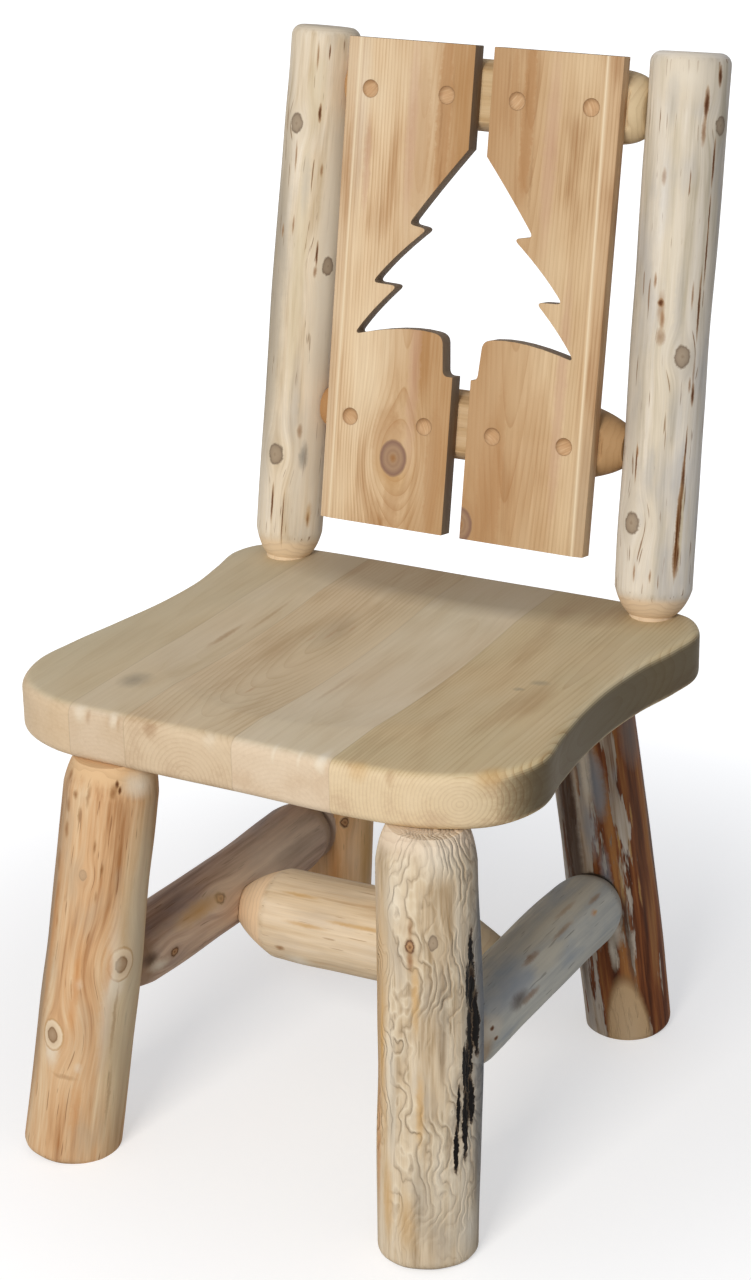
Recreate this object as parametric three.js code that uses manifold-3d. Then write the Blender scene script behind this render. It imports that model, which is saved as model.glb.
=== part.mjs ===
// A rustic log dining chair with a plank seat and a pine tree cut out of its back, in millimetres.
// Z is up, the chair faces -Y and the feet stand on Z = 0.
// Left and right in the names are as seen by someone who stands in front of the chair: left is at -X.

import * as THREE from "three";
import { mergeVertices } from "three/addons/utils/BufferGeometryUtils.js";
import Module from "manifold-3d";

const solids = await Module();
solids.setup();

// Fits and cuts.
const fitGap = 0.3;
const socketGap = 2.2;
const overcut = 6;

// Seat: five planks glued edge to edge, sawn to one outline, rounded over and dished.
const seatTop = 450;
const seatThickness = 53;
const seatRounding = 10;
const seatOutline = [
  [0, -224],
  [110, -226],
  [184, -216],
  [235, -185],
  [256, -136],
  [249, -78],
  [243, -18],
  [242, 42],
  [248, 104],
  [259, 158],
  [262, 202],
  [242, 236],
  [200, 247],
  [0, 250],
  [-200, 249],
  [-246, 240],
  [-263, 206],
  [-257, 158],
  [-251, 108],
  [-253, 44],
  [-262, -20],
  [-272, -84],
  [-275, -138],
  [-254, -188],
  [-205, -217],
  [-110, -223],
];
const glueLines = [-180, -120, -7, 93];
const dishHalfWidth = 192;
const dishHalfDepth = 168;
const dishDepth = 8;
const dishLip = 1;
const dishCentre = [-6, 2];

// Legs: peeled logs, each with its own stance.
// Feet are points on the floor, tops are on the seat's underside.
const legs = {
  front_left: { foot: [-193.5, -238], top: [-152, -190], radii: [47.5, 46.5, 45], ovalShare: 0.02, bow: 1 },
  front_right: { foot: [194, -244], top: [172.5, -196], radii: [47, 48, 45], ovalShare: 0.02, bow: 3 },
  back_left: { foot: [-165, 220], top: [-146.5, 200], radii: [45, 45.5, 44], ovalShare: 0.02, bow: 2 },
  back_right: { foot: [190, 217], top: [145, 190], radii: [45, 45.5, 44.5], ovalShare: 0.02, bow: 1 },
};
const footRounding = 9;
const legShoulder = { neck: 35.5, reach: 33, fullnessShare: 0.4 };
const legTenonRadius = 19;
const legTenonLength = 34;

// Side stretchers, from the front leg's axis to the back leg's, and the cross stretcher between them.
// The back legs are scooped out wider than the stretchers' domed ends.
const sideStretchers = {
  left: { front: [-175.5, -218, 167], back: [-157, 211, 168], radii: [35.5, 36, 36], bow: 2 },
  right: { front: [185.7, -223, 175.5], back: [173, 206, 157.5], radii: [37, 38, 37.5], bow: -2 },
};
const sideStretcherSetbacks = [33, 36];
const sideSocketSetbacks = [33, 33];
const crossStretcher = { left: [-166, 0, 159], right: [180, 0, 164], radii: [44.5, 46, 45.5], bow: 0 };
const crossStretcherSetbacks = [32, 34];
const stretcherTenonRadius = 16;
const stretcherTenonLength = 24;
const sideFrontEnd = { neck: 23, reach: 40, fullnessShare: 0.4 };
const sideBackEnd = { neck: 18, reach: 40, fullnessShare: 0.7 };
const sideBackSocket = { neck: 22, reach: 26, fullnessShare: 0.95 };
const crossLeftEnd = { neck: 20, reach: 43, fullnessShare: 0.35 };
const crossRightEnd = { neck: 20, reach: 58, fullnessShare: 0.1 };

// Back posts, from the seat's top face to their rounded tops, which end level with the slats.
const posts = {
  left: { foot: [-204, 219], top: [-191, 305.5], radii: [34.5, 35, 35.5], ovalShare: 0.02, bow: -2 },
  right: { foot: [202.5, 222], top: [191.5, 314.5], radii: [38.5, 38.5, 39], ovalShare: 0.02, bow: -1 },
};
const postShoulder = { neck: 22, reach: 27, fullnessShare: 0.4 };
const postTopRounding = 11;
const postTenonRadius = 18;
const postTenonLength = 36;

// Backrest: everything in it is measured up the leaning slats from their lower front edge.
const backrestFoot = [0, 184.8];
const backrestRise = 60.2;
const backrestLeanDegrees = 9.7;
const slatThickness = 18;
const slatLength = 472;
const slats = {
  left: { inner: 7.5, outer: 145.5, side: -1 },
  right: { inner: 12, outer: 144, side: 1 },
};
const bevelBandBottom = 11;
const bevelBandTop = 15;
const bevelDepth = 3;

// The pine tree, as half an outline about its trunk's centre line, from its peak down to its foot.
// A stretch of it that swells is a curve towards its "by" point.
const treeCentre = 0.3;
const treeHalfOutline = [
  { to: [0, 384] },
  { to: [66.5, 299], by: [38.5, 338] },
  { to: [45.5, 296] },
  { to: [102, 239.5], by: [82, 266] },
  { to: [74, 238.5] },
  { to: [118.5, 187], by: [104, 210] },
  { to: [21.5, 195.5], by: [57, 204.5] },
  { to: [18.5, 156.5] },
  { to: [0, 157] },
];
const treeTipRadius = 6;
const treeNotchRadius = 2;

// Rails: logs milled flat where the slats seat, each at a distance from one end of the slats.
const railRadius = 35;
const railFlatDepth = 9.4;
const topRailDrop = 47;
const bottomRailRise = 106;
const rails = {
  top: { height: slatLength - topRailDrop, end: { neck: 21, reach: 26, fullnessShare: 0.65 } },
  bottom: { height: bottomRailRise, end: { neck: 18, reach: 37, fullnessShare: 0.3 } },
};
const railShoulderSetback = 34;
const railTenonRadius = 15;
const railTenonLength = 22;
const railBow = 1.5;
const railFlatMargin = 2;

// Screws through the slats into the rails, each hidden under a plug that sits a little below the slat's face.
const screwRowDrop = 1.25;
const screwInsets = [28, 27.5];
const plugRadius = 8;
const plugDepth = 5.5;
const plugDome = 0.8;
const plugSink = 2.4;
const screwHeadRadius = 4.6;
const screwHeadHeight = 2.8;
const screwLength = 36;
const screwShankRadius = 2;
const screwThreadRadius = 2.6;
const screwSmoothLength = 14;
const screwTipLength = 5;
const screwThreadPitch = 4.2;

// How finely the round shapes are faceted.
const logSegments = 20;
const bodyRings = 4;
const endRings = 3;
const outlinePoints = 76;
const roundingSteps = 3;
const dishSegments = 40;
const dishRings = 5;
const plugSegments = 16;
const screwSegments = 8;
const cornerSteps = 2;
const curveSteps = 4;
const gentleBendShare = 0.3;

const seatUnderside = seatTop - seatThickness;
const seatReach = Math.max(...seatOutline.flat().map(Math.abs)) + overcut;
const counterboreDepth = plugSink + plugDepth + fitGap + screwHeadHeight;
const backrestLean = THREE.MathUtils.degToRad(backrestLeanDegrees);
const slatFootHeight = seatTop + backrestRise;
const postTopHeight = slatFootHeight + slatLength * Math.cos(backrestLean);

/** A closed geometry as a solid that can be joined and cut. */
function toSolid(geometry) {
  const bare = geometry.clone();
  bare.deleteAttribute("normal");
  bare.deleteAttribute("uv");
  const merged = mergeVertices(bare);
  const vertProperties = new Float32Array(merged.attributes.position.array);
  const triVerts = new Uint32Array(merged.index.array);
  return new solids.Manifold(new solids.Mesh({ numProp: 3, vertProperties, triVerts }));
}

/** A solid as a geometry that a mesh can show. */
function toGeometry(solid) {
  const { vertProperties, triVerts } = solid.getMesh();
  const geometry = new THREE.BufferGeometry();
  geometry.setAttribute("position", new THREE.BufferAttribute(new Float32Array(vertProperties), 3));
  geometry.setIndex(new THREE.BufferAttribute(new Uint32Array(triVerts), 1));
  geometry.computeVertexNormals();
  return geometry;
}

/** A named mesh of one solid in one wood or metal. */
function piece(name, solid, material) {
  const mesh = new THREE.Mesh(toGeometry(solid), material.clone());
  mesh.name = name;
  return mesh;
}

/** All the room on the far side of a plane, as a block big enough for this chair. */
function roomBeyond(point, normal) {
  const size = seatTop * 3;
  const block = new THREE.BoxGeometry(size, size, size);
  block.translate(0, 0, size / 2);
  const up = new THREE.Vector3(0, 0, 1);
  const turn = new THREE.Quaternion().setFromUnitVectors(up, normal.clone().normalize());
  block.applyQuaternion(turn);
  block.translate(point.x, point.y, point.z);
  return toSolid(block);
}

/** A block between two opposite corners. */
function blockBetween(low, high) {
  const size = new THREE.Vector3().subVectors(high, low);
  const block = new THREE.BoxGeometry(size.x, size.y, size.z);
  block.translate(low.x + size.x / 2, low.y + size.y / 2, low.z + size.z / 2);
  return toSolid(block);
}

/** The radius of a log at a share of its length, through its start, middle and end radii. */
function radiusAt([start, middle, end], share) {
  const nearStart = (1 - share) * (1 - 2 * share);
  const nearMiddle = 4 * share * (1 - share);
  const nearEnd = share * (2 * share - 1);
  return start * nearStart + middle * nearMiddle + end * nearEnd;
}

/** The shaped end of a log, as [radius, distance from the shoulder] from its neck out to the full log. */
function shapedEnd({ neck, reach, fullnessShare }, fullRadius) {
  const corner = new THREE.Vector2(fullRadius, 0);
  const middle = new THREE.Vector2((neck + fullRadius) / 2, reach / 2);
  const curve = new THREE.QuadraticBezierCurve(
    new THREE.Vector2(neck, 0),
    middle.lerp(corner, fullnessShare),
    new THREE.Vector2(fullRadius, reach),
  );
  return curve.getPoints(endRings);
}

/** Points on the plain body of a log between two distances along it. */
function bodyPoints(radii, length, from, to) {
  const points = [];
  for (let ring = 1; ring < bodyRings; ring += 1) {
    const along = THREE.MathUtils.lerp(from, to, ring / bodyRings);
    points.push(new THREE.Vector2(radiusAt(radii, along / length), along));
  }
  return points;
}

/** A log turned about the line between two points, a little oval and bowed between its ends as it grew. */
function growLog(profile, from, to, { ovalShare = 0, bow = 0 }) {
  const geometry = new THREE.LatheGeometry(profile, logSegments);
  const direction = new THREE.Vector3().subVectors(to, from);
  const length = direction.length();
  const place = geometry.attributes.position;
  for (let index = 0; index < place.count; index += 1) {
    const share = THREE.MathUtils.clamp(place.getY(index) / length, 0, 1);
    const fade = Math.sin(Math.PI * share) ** 2;
    const around = Math.atan2(place.getZ(index), place.getX(index));
    const stretch = 1 + ovalShare * fade * Math.cos(2 * around);
    place.setX(index, place.getX(index) * stretch + bow * fade);
    place.setZ(index, place.getZ(index) * stretch);
  }
  const grain = new THREE.Vector3(0, 1, 0);
  const turn = new THREE.Quaternion().setFromUnitVectors(grain, direction.normalize());
  geometry.applyQuaternion(turn);
  geometry.translate(from.x, from.y, from.z);
  return toSolid(geometry);
}

/** A round tenon on the line through two points, starting inside the log and passing the second point. */
function tenonBeyond(from, to, radius, length) {
  const direction = new THREE.Vector3().subVectors(to, from).normalize();
  const rootLength = radius;
  const grain = new THREE.Vector3(0, 1, 0);
  const tenon = new THREE.CylinderGeometry(radius, radius, rootLength + length, logSegments);
  tenon.translate(0, (length - rootLength) / 2, 0);
  tenon.applyQuaternion(new THREE.Quaternion().setFromUnitVectors(grain, direction));
  tenon.translate(to.x, to.y, to.z);
  return toSolid(tenon);
}

/** A log with a shaped shoulder and a tenon at both ends, between two shoulder points. */
function tenonedLog(log, sideGap, tenonGap) {
  const { from, to, radii, startEnd, finishEnd, tenonRadius, tenonLength, bow } = log;
  const length = from.distanceTo(to);
  const grown = (point) => new THREE.Vector2(point.x + sideGap, point.y);
  const start = shapedEnd(startEnd, radiusAt(radii, startEnd.reach / length)).map(grown);
  const finish = shapedEnd(finishEnd, radiusAt(radii, 1 - finishEnd.reach / length)).map(grown);
  const body = bodyPoints(radii, length, startEnd.reach, length - finishEnd.reach).map(grown);
  const thickness = tenonRadius + tenonGap;
  const profile = [
    new THREE.Vector2(0, -tenonLength - tenonGap),
    new THREE.Vector2(thickness, -tenonLength - tenonGap),
    new THREE.Vector2(thickness, -tenonGap),
    new THREE.Vector2(start[0].x, -tenonGap),
    ...start.slice(1),
    ...body,
    ...finish.slice(1).reverse().map((point) => new THREE.Vector2(point.x, length - point.y)),
    new THREE.Vector2(finish[0].x, length + tenonGap),
    new THREE.Vector2(thickness, length + tenonGap),
    new THREE.Vector2(thickness, length + tenonLength + tenonGap),
    new THREE.Vector2(0, length + tenonLength + tenonGap),
  ];
  return growLog(profile, from, to, { bow });
}

/** The point a set distance along the line from one point towards another. */
function pointTowards(from, to, distance) {
  const step = new THREE.Vector3().subVectors(to, from).setLength(distance);
  return new THREE.Vector3().addVectors(from, step);
}

/** One leg: sawn level at the floor, coned to its neck under the seat, with its tenon above. */
function makeLeg({ foot, top, radii, ovalShare, bow }) {
  const from = new THREE.Vector3(...foot, 0);
  const to = new THREE.Vector3(...top, seatUnderside);
  const length = from.distanceTo(to);
  const footCurve = new THREE.EllipseCurve(
    radii[0] - footRounding,
    footRounding / 2,
    footRounding,
    footRounding,
    -Math.PI / 2,
    0,
  );
  const neck = shapedEnd(legShoulder, radiusAt(radii, 1 - legShoulder.reach / length));
  const crown = length + legShoulder.neck - legTenonRadius;
  const profile = [
    new THREE.Vector2(0, -footRounding / 2),
    ...footCurve.getPoints(endRings),
    ...bodyPoints(radii, length, footRounding / 2, length - legShoulder.reach),
    ...neck.reverse().map((point) => new THREE.Vector2(point.x, length - point.y)),
    new THREE.Vector2(legTenonRadius, crown),
    new THREE.Vector2(0, crown),
  ];
  const above = roomBeyond(to, new THREE.Vector3(0, 0, 1));
  const below = roomBeyond(from, new THREE.Vector3(0, 0, -1));
  const log = growLog(profile, from, to, { ovalShare, bow }).subtract(above).subtract(below);
  return log.add(tenonBeyond(from, to, legTenonRadius, legTenonLength));
}

/** One back post: coned to its neck on the seat, with a tenon below it and a rounded top. */
function makePost({ foot, top, radii, ovalShare, bow }) {
  const from = new THREE.Vector3(...foot, seatTop);
  const to = new THREE.Vector3(...top, postTopHeight);
  const length = from.distanceTo(to);
  const neck = shapedEnd(postShoulder, radiusAt(radii, postShoulder.reach / length));
  const topCurve = new THREE.EllipseCurve(
    radii[2] - postTopRounding,
    length - postTopRounding,
    postTopRounding,
    postTopRounding,
    0,
    Math.PI / 2,
  );
  const profile = [
    new THREE.Vector2(0, postTenonRadius - postShoulder.neck),
    new THREE.Vector2(postTenonRadius, postTenonRadius - postShoulder.neck),
    ...neck,
    ...bodyPoints(radii, length, postShoulder.reach, length - postTopRounding),
    ...topCurve.getPoints(endRings),
    new THREE.Vector2(0, length),
  ];
  const below = roomBeyond(from, new THREE.Vector3(0, 0, -1));
  const log = growLog(profile, from, to, { ovalShare, bow }).subtract(below);
  return log.add(tenonBeyond(to, from, postTenonRadius, postTenonLength));
}

/** The seat before it is divided into planks: sawn to its outline, rounded over and dished. */
function makeSeatBlank() {
  const guide = new THREE.CatmullRomCurve3(
    seatOutline.map(([x, y]) => new THREE.Vector3(x, y, 0)),
    true,
  );
  const places = guide.getSpacedPoints(outlinePoints).slice(1);
  const outline = new THREE.Shape(places.map(({ x, y }) => new THREE.Vector2(x, y)));
  const plank = new THREE.ExtrudeGeometry(outline, {
    depth: seatThickness - 2 * seatRounding,
    bevelThickness: seatRounding,
    bevelSize: seatRounding,
    bevelOffset: -seatRounding,
    bevelSegments: roundingSteps,
    curveSegments: 1,
  });
  plank.translate(0, 0, seatUnderside + seatRounding);
  const bowl = [];
  const rimShare = Math.sqrt(1 + dishLip / dishDepth);
  for (let ring = 0; ring <= dishRings; ring += 1) {
    const share = (rimShare * ring) / dishRings;
    bowl.push(new THREE.Vector2(dishHalfWidth * share, dishDepth * (share * share - 1)));
  }
  bowl.push(new THREE.Vector2(dishHalfWidth * rimShare, overcut));
  bowl.push(new THREE.Vector2(0, overcut));
  const dish = new THREE.LatheGeometry(bowl, dishSegments);
  dish.rotateX(Math.PI / 2);
  dish.scale(1, dishHalfDepth / dishHalfWidth, 1);
  dish.translate(dishCentre[0], dishCentre[1], seatTop);
  return toSolid(plank).subtract(toSolid(dish));
}

/** One side of the tree, as corners and points on its curves from the peak down. */
function treeSide(side) {
  const corners = [];
  for (const { to, by } of treeHalfOutline) {
    const corner = new THREE.Vector2(treeCentre + side * to[0], to[1]);
    if (by) {
      const control = new THREE.Vector2(treeCentre + side * by[0], by[1]);
      const curve = new THREE.QuadraticBezierCurve(corners.at(-1), control, corner);
      corners.push(...curve.getPoints(curveSteps).slice(1));
    } else {
      corners.push(corner);
    }
  }
  return corners;
}

/** A closed outline, drawn clockwise, with its tips and notches rounded and its gentle bends left. */
function roundedShape(corners, tipRadius, notchRadius) {
  const shape = new THREE.Shape();
  corners.forEach((corner, index) => {
    const before = corners.at(index - 1).clone().sub(corner);
    const after = corners[(index + 1) % corners.length].clone().sub(corner);
    const bend = before.clone().negate().cross(after) / (before.length() * after.length());
    const radius = bend < 0 ? tipRadius : notchRadius;
    const cut = Math.abs(bend) < gentleBendShare ? 0 : radius;
    const enter = corner.clone().add(before.setLength(cut));
    const leave = corner.clone().add(after.setLength(cut));
    if (index === 0) {
      shape.moveTo(enter.x, enter.y);
    } else {
      shape.lineTo(enter.x, enter.y);
    }
    if (cut > 0) {
      shape.quadraticCurveTo(corner.x, corner.y, leave.x, leave.y);
    }
  });
  return shape;
}

/** A flat outline drawn on the slats' front face and carried back through a depth. */
function backrestPrism(shape, from, depth) {
  const prism = new THREE.ExtrudeGeometry(shape, {
    depth,
    bevelEnabled: false,
    curveSegments: cornerSteps,
  });
  prism.rotateX(Math.PI / 2);
  prism.translate(0, from + depth, 0);
  return toSolid(prism);
}

/** A pin or hole square to the slats at a place on their front face, turned from a profile. */
function backrestTurning(profile, across, up, segments) {
  const geometry = new THREE.LatheGeometry(profile, segments);
  geometry.translate(across, 0, up);
  return toSolid(geometry);
}

/** A plain round profile between two depths. */
function roundProfile(radius, from, to) {
  return [
    new THREE.Vector2(0, from),
    new THREE.Vector2(radius, from),
    new THREE.Vector2(radius, to),
    new THREE.Vector2(0, to),
  ];
}

/** A slightly domed plug. Depth runs back from the slat's front face. */
function makePlug(across, up) {
  const dome = new THREE.EllipseCurve(0, plugSink, plugRadius, plugDome, -Math.PI / 2, 0);
  const profile = [
    ...dome.getPoints(endRings),
    new THREE.Vector2(plugRadius, plugSink + plugDepth),
    new THREE.Vector2(0, plugSink + plugDepth),
  ];
  return backrestTurning(profile, across, up, plugSegments);
}

/** A wood screw: flat-bottomed head, smooth shank, ridged thread and a point. */
function makeScrew(across, up) {
  const underHead = counterboreDepth - fitGap;
  const tip = underHead + screwLength;
  const profile = [
    new THREE.Vector2(0, underHead - screwHeadHeight + fitGap),
    new THREE.Vector2(screwHeadRadius, underHead - screwHeadHeight + fitGap),
    new THREE.Vector2(screwHeadRadius, underHead),
    new THREE.Vector2(screwShankRadius, underHead),
    new THREE.Vector2(screwShankRadius, underHead + screwSmoothLength),
  ];
  const threadEnd = tip - screwTipLength;
  const firstThread = underHead + screwSmoothLength + screwThreadPitch;
  for (let along = firstThread; along < threadEnd; along += screwThreadPitch) {
    profile.push(new THREE.Vector2(screwThreadRadius, along - screwThreadPitch / 2));
    profile.push(new THREE.Vector2(screwShankRadius, along));
  }
  profile.push(new THREE.Vector2(0, tip));
  return backrestTurning(profile, across, up, screwSegments);
}

/** The hole that a screw and its plug need in a slat. */
function makeScrewHole(across, up) {
  const shank = screwThreadRadius + fitGap;
  const bore = plugRadius + fitGap;
  const profile = [
    new THREE.Vector2(0, -overcut),
    new THREE.Vector2(bore, -overcut),
    new THREE.Vector2(bore, counterboreDepth),
    new THREE.Vector2(shank, counterboreDepth),
    new THREE.Vector2(shank, slatThickness + overcut),
    new THREE.Vector2(0, slatThickness + overcut),
  ];
  return backrestTurning(profile, across, up, plugSegments);
}

/** The pilot hole that a screw needs in a rail. */
function makePilotHole(across, up) {
  const depth = counterboreDepth + screwLength;
  return backrestTurning(roundProfile(screwThreadRadius + fitGap, 0, depth), across, up, screwSegments);
}

/** The through cut of the pine tree, both halves at once. */
function makeTreeCut() {
  const left = treeSide(-1).slice(1, -1).reverse();
  const shape = roundedShape([...treeSide(1), ...left], treeTipRadius, treeNotchRadius);
  return backrestPrism(shape, -overcut, slatThickness + 2 * overcut);
}

/** One slat: half of the tree in its inner edge, a bevelled outer edge and counterbored screw holes. */
function makeSlat({ inner, outer, side }, places) {
  const low = new THREE.Vector3(Math.min(side * inner, side * outer), 0, 0);
  const high = new THREE.Vector3(Math.max(side * inner, side * outer), slatThickness, slatLength);
  const ridgeBottom = new THREE.Vector3(side * (outer - bevelBandBottom), 0, 0);
  const ridgeTop = new THREE.Vector3(side * (outer - bevelBandTop), 0, slatLength);
  const edge = new THREE.Vector3(side * outer, bevelDepth, slatLength / 2);
  const up = new THREE.Vector3().subVectors(ridgeTop, ridgeBottom);
  const out = new THREE.Vector3().subVectors(edge, ridgeBottom);
  const facing = new THREE.Vector3().crossVectors(out, up).multiplyScalar(side);
  let slat = blockBetween(low, high).subtract(roomBeyond(edge, facing)).subtract(makeTreeCut());
  for (const { across, height } of places) {
    slat = slat.subtract(makeScrewHole(across, height));
  }
  return slat;
}

/** Where a slat's four screws go, as distances across and up the backrest. */
function screwPlaces({ inner, outer, side }) {
  const [outerInset, innerInset] = screwInsets;
  return [rails.bottom, rails.top].flatMap((rail) => {
    const height = rail.height - screwRowDrop;
    return [
      { across: side * (outer - outerInset), height },
      { across: side * (inner + innerInset), height },
    ];
  });
}

const backrest = new THREE.Group();
backrest.position.set(...backrestFoot, slatFootHeight);
backrest.rotation.x = -backrestLean;
backrest.updateMatrixWorld();
const backrestTurn = backrest.matrixWorld;
const intoBackrest = backrestTurn.clone().invert();
const railDepth = slatThickness + railRadius - railFlatDepth;

/** A solid carried from the backrest's own measure to the chair's. */
function standUp(solid) {
  return toSolid(toGeometry(solid).applyMatrix4(backrestTurn));
}

/** The point where a post's axis crosses a height up the backrest, in the backrest's own measure. */
function postCentreAt({ foot, top }, height) {
  const low = new THREE.Vector3(...foot, seatTop).applyMatrix4(intoBackrest);
  const high = new THREE.Vector3(...top, postTopHeight).applyMatrix4(intoBackrest);
  return low.lerp(high, (height - low.z) / (high.z - low.z));
}

/** One rail, with or without room around it: tenoned into both posts at one height. */
function makeRail({ height, end }, sideGap, tenonGap) {
  const left = postCentreAt(posts.left, height).setY(railDepth);
  const right = postCentreAt(posts.right, height).setY(railDepth);
  const rail = {
    from: pointTowards(left, right, railShoulderSetback),
    to: pointTowards(right, left, railShoulderSetback),
    radii: [railRadius, railRadius, railRadius],
    startEnd: end,
    finishEnd: end,
    tenonRadius: railTenonRadius,
    tenonLength: railTenonLength,
    bow: railBow,
  };
  return tenonedLog(rail, sideGap, tenonGap);
}

/** A side stretcher's form between a front and a back leg, with its setbacks and its back end to choose. */
function sideStretcherForm({ front, back, radii, bow }, setbacks, backEnd) {
  const start = new THREE.Vector3(...front);
  const finish = new THREE.Vector3(...back);
  return {
    from: pointTowards(start, finish, setbacks[0]),
    to: pointTowards(finish, start, setbacks[1]),
    radii,
    startEnd: sideFrontEnd,
    finishEnd: backEnd,
    tenonRadius: stretcherTenonRadius,
    tenonLength: stretcherTenonLength,
    bow,
  };
}

/** A side stretcher: a cone at its front end, a dome at its back end and a tenon at both. */
function makeSideStretcher(side) {
  return tenonedLog(sideStretcherForm(side, sideStretcherSetbacks, sideBackEnd), 0, 0);
}

/** The room that a side stretcher needs in its legs: a scooped socket and a mortise at both ends. */
function makeSideSocket(side) {
  return tenonedLog(sideStretcherForm(side, sideSocketSetbacks, sideBackSocket), socketGap, fitGap);
}

/** The cross stretcher, with or without room around it: shouldered into both side stretchers. */
function makeCrossStretcher(sideGap, tenonGap) {
  const left = new THREE.Vector3(...crossStretcher.left);
  const right = new THREE.Vector3(...crossStretcher.right);
  const stretcher = {
    from: pointTowards(left, right, crossStretcherSetbacks[0]),
    to: pointTowards(right, left, crossStretcherSetbacks[1]),
    radii: crossStretcher.radii,
    startEnd: crossLeftEnd,
    finishEnd: crossRightEnd,
    tenonRadius: stretcherTenonRadius,
    tenonLength: stretcherTenonLength,
    bow: crossStretcher.bow,
  };
  return tenonedLog(stretcher, sideGap, tenonGap);
}

const peeledLog = new THREE.MeshStandardMaterial({ color: "#d6c3a0", roughness: 0.62, metalness: 0 });
const tanLog = new THREE.MeshStandardMaterial({ color: "#b9976a", roughness: 0.65, metalness: 0 });
const barkLog = new THREE.MeshStandardMaterial({ color: "#6e4a33", roughness: 0.78, metalness: 0 });
const greyLog = new THREE.MeshStandardMaterial({ color: "#8b8a85", roughness: 0.7, metalness: 0 });
const seatPine = new THREE.MeshStandardMaterial({ color: "#b3a27c", roughness: 0.5, metalness: 0 });
const cedarBoard = new THREE.MeshStandardMaterial({ color: "#c9a27c", roughness: 0.55, metalness: 0 });
const plugWood = new THREE.MeshStandardMaterial({ color: "#bd9268", roughness: 0.5, metalness: 0 });
const screwSteel = new THREE.MeshStandardMaterial({ color: "#b9b6ae", roughness: 0.35, metalness: 0.9 });

const logWoods = {
  leg_front_left: tanLog,
  leg_front_right: peeledLog,
  leg_back_left: tanLog,
  leg_back_right: barkLog,
  stretcher_left: barkLog,
  stretcher_right: greyLog,
};

const chair = new THREE.Group();

// The legs take the side stretchers' tenons and shoulders, each in a scooped socket.
for (const [place, leg] of Object.entries(legs)) {
  const side = place.endsWith("left") ? "left" : "right";
  const room = makeSideSocket(sideStretchers[side]);
  chair.add(piece(`leg_${place}`, makeLeg(leg).subtract(room), logWoods[`leg_${place}`]));
}

// Each side stretcher takes one end of the cross stretcher.
const crossRoom = makeCrossStretcher(fitGap, fitGap);
for (const [side, stretcher] of Object.entries(sideStretchers)) {
  const log = makeSideStretcher(stretcher).subtract(crossRoom);
  chair.add(piece(`stretcher_${side}`, log, logWoods[`stretcher_${side}`]));
}
chair.add(piece("stretcher_cross", makeCrossStretcher(0, 0), peeledLog));

// The posts take both rails.
const railRooms = Object.values(rails).map((rail) => standUp(makeRail(rail, fitGap, fitGap)));
for (const [side, post] of Object.entries(posts)) {
  const log = railRooms.reduce((rest, room) => rest.subtract(room), makePost(post));
  chair.add(piece(`post_${side}`, log, peeledLog));
}

// The seat is mortised for the legs and posts, then divided at its glue lines.
let seat = makeSeatBlank();
for (const { foot, top } of Object.values(legs)) {
  const from = new THREE.Vector3(...foot, 0);
  const to = new THREE.Vector3(...top, seatUnderside);
  seat = seat.subtract(tenonBeyond(from, to, legTenonRadius + fitGap, legTenonLength + fitGap));
}
for (const { foot, top } of Object.values(posts)) {
  const from = new THREE.Vector3(...top, postTopHeight);
  const to = new THREE.Vector3(...foot, seatTop);
  seat = seat.subtract(tenonBeyond(from, to, postTenonRadius + fitGap, postTenonLength + fitGap));
}
const boardEdges = [-seatReach, ...glueLines, seatReach];
for (let index = 1; index < boardEdges.length; index += 1) {
  const low = new THREE.Vector3(boardEdges[index - 1], -seatReach, seatUnderside - overcut);
  const high = new THREE.Vector3(boardEdges[index], seatReach, seatTop + overcut);
  chair.add(piece(`seat_board_${index}`, seat.intersect(blockBetween(low, high)), seatPine));
}

// The backrest: two slats screwed to the rails' flats, every screw under its plug.
const allPlaces = Object.values(slats).flatMap(screwPlaces);
for (const [name, rail] of Object.entries(rails)) {
  const flatEnd = Math.max(slats.left.outer, slats.right.outer) + railFlatMargin;
  const low = new THREE.Vector3(-flatEnd, -overcut, rail.height - 2 * railRadius);
  const high = new THREE.Vector3(flatEnd, slatThickness + fitGap, rail.height + 2 * railRadius);
  let log = makeRail(rail, 0, 0).subtract(blockBetween(low, high));
  for (const { across, height } of allPlaces) {
    log = log.subtract(makePilotHole(across, height));
  }
  backrest.add(piece(`rail_${name}`, log, peeledLog));
}
for (const [side, slat] of Object.entries(slats)) {
  const places = screwPlaces(slat);
  backrest.add(piece(`slat_${side}`, makeSlat(slat, places), cedarBoard));
  places.forEach(({ across, height }, index) => {
    backrest.add(piece(`plug_${side}_${index + 1}`, makePlug(across, height), plugWood));
    backrest.add(piece(`screw_${side}_${index + 1}`, makeScrew(across, height), screwSteel));
  });
}
chair.add(backrest);

// The origin is on the floor, under the middle of the whole chair.
const middle = new THREE.Box3().setFromObject(chair, true).getCenter(new THREE.Vector3());
chair.position.set(-middle.x, -middle.y, 0);

export default chair;
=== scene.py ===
"""A rustic log chair: peeled logs, a dished plank seat and cedar slats with a pine tree cut out of them."""

import logging
import math
from collections.abc import Sequence
from dataclasses import dataclass
from enum import Enum

import bmesh
import bpy
from mathutils import Matrix, Vector, noise


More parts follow.
